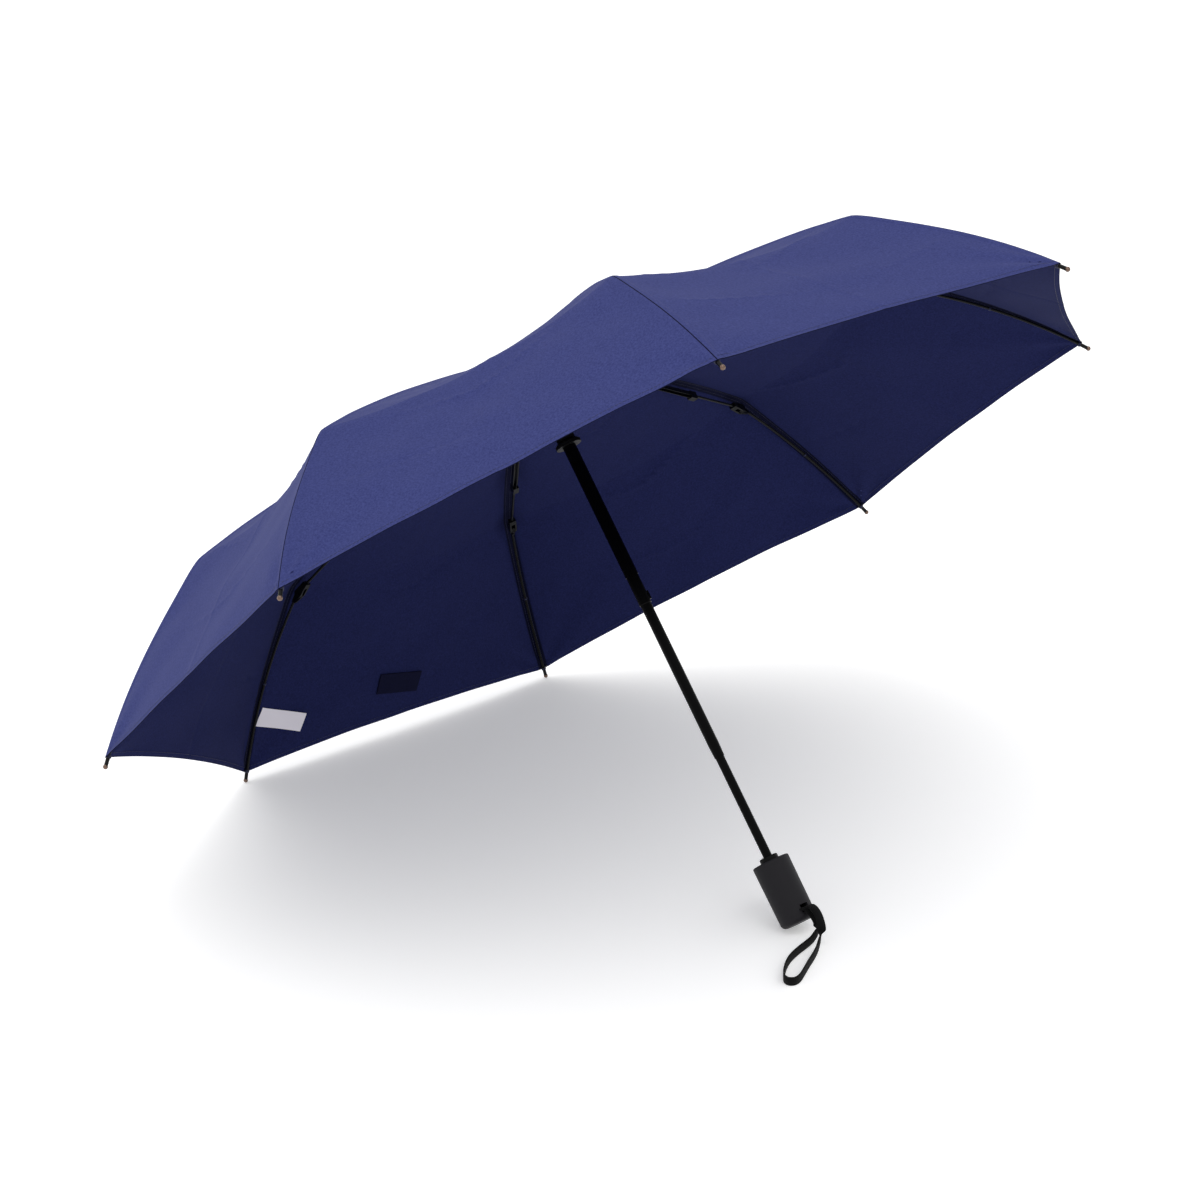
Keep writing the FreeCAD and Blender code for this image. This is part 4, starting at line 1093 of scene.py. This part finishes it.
class UMBRELLA_OT_stage(bpy.types.Operator):
    """Lay a white floor and hang soft studio lights"""

    bl_idname = "umbrella.stage"
    bl_label = "Stage"

    def execute(self, context):
        settings = owner(context).stage
        floor_material, _, shader = new_material("matt_studio_floor", (*settings.floor, 1), 0.9)
        shader.inputs["Specular IOR Level"].default_value = 0.0
        shader.inputs["Emission Color"].default_value = (1, 1, 1, 1)
        shader.inputs["Emission Strength"].default_value = settings.glow
        corners = [(-1, -1), (1, -1), (1, 1), (-1, 1)]
        floor = mesh_object("floor", [(x * FLOOR_SIZE, y * FLOOR_SIZE, 0) for x, y in corners],
                            [(0, 1, 2, 3)], floor_material, smooth=False)
        floor.location.z = -FLOOR_DROP
        world = bpy.data.worlds.new("studio")
        world.use_nodes = True
        sky = world.node_tree.nodes["Background"]
        sky.inputs["Color"].default_value = (1, 1, 1, 1)
        sky.inputs["Strength"].default_value = settings.sky
        context.scene.world = world
        context.scene.view_settings.view_transform = "Standard"
        lamp("key", (0.9, -0.5, 3.0), (0, 0, 0.2), 2.4, settings.key)
        lamp("fill", (-1.4, -2.0, 2.2), (0, 0, 0.3), 1.8, settings.fill)
        return {"FINISHED"}


class UMBRELLA_PT_panel(bpy.types.Panel):
    """Umbrella tools in the sidebar"""

    bl_idname = "UMBRELLA_PT_panel"
    bl_label = "Folding Umbrella"
    bl_space_type = "VIEW_3D"
    bl_region_type = "UI"
    bl_category = "Umbrella"

    def draw(self, context):
        settings = owner(context)
        for group in (settings.colours, settings.cloth, settings.stitches, settings.strap,
                      settings.stage):
            box = self.layout.box()
            for name in group.bl_rna.properties.keys():
                if name not in ("rna_type", "name"):
                    box.prop(group, name)
        for step in STEPS:
            self.layout.operator(step.bl_idname)


STEPS = (UMBRELLA_OT_camera, UMBRELLA_OT_strap, UMBRELLA_OT_canopy, UMBRELLA_OT_stitches,
         UMBRELLA_OT_patches, UMBRELLA_OT_ties, UMBRELLA_OT_springs, UMBRELLA_OT_finishes,
         UMBRELLA_OT_stage)
CLASSES = (ColourSettings, ClothSettings, StitchSettings, StrapSettings, StageSettings,
           UmbrellaSettings, *STEPS, UMBRELLA_PT_panel)


def register():
    """Register the settings, the operators and the panel."""
    for cls in CLASSES:
        bpy.utils.register_class(cls)
    bpy.types.Scene.umbrella = nested(UmbrellaSettings, "Umbrella", "Folding umbrella")


def unregister():
    """Take them away again."""
    del bpy.types.Scene.umbrella
    for cls in reversed(CLASSES):
        bpy.utils.unregister_class(cls)


def main():
    """Build every piece in order."""
    register()
    for step in STEPS:
        group, name = step.bl_idname.split(".")
        done = getattr(getattr(bpy.ops, group), name)()
        if done != {"FINISHED"}:
            raise RuntimeError(f"{step.bl_label} did not finish")


if __name__ == "__main__":
    main()
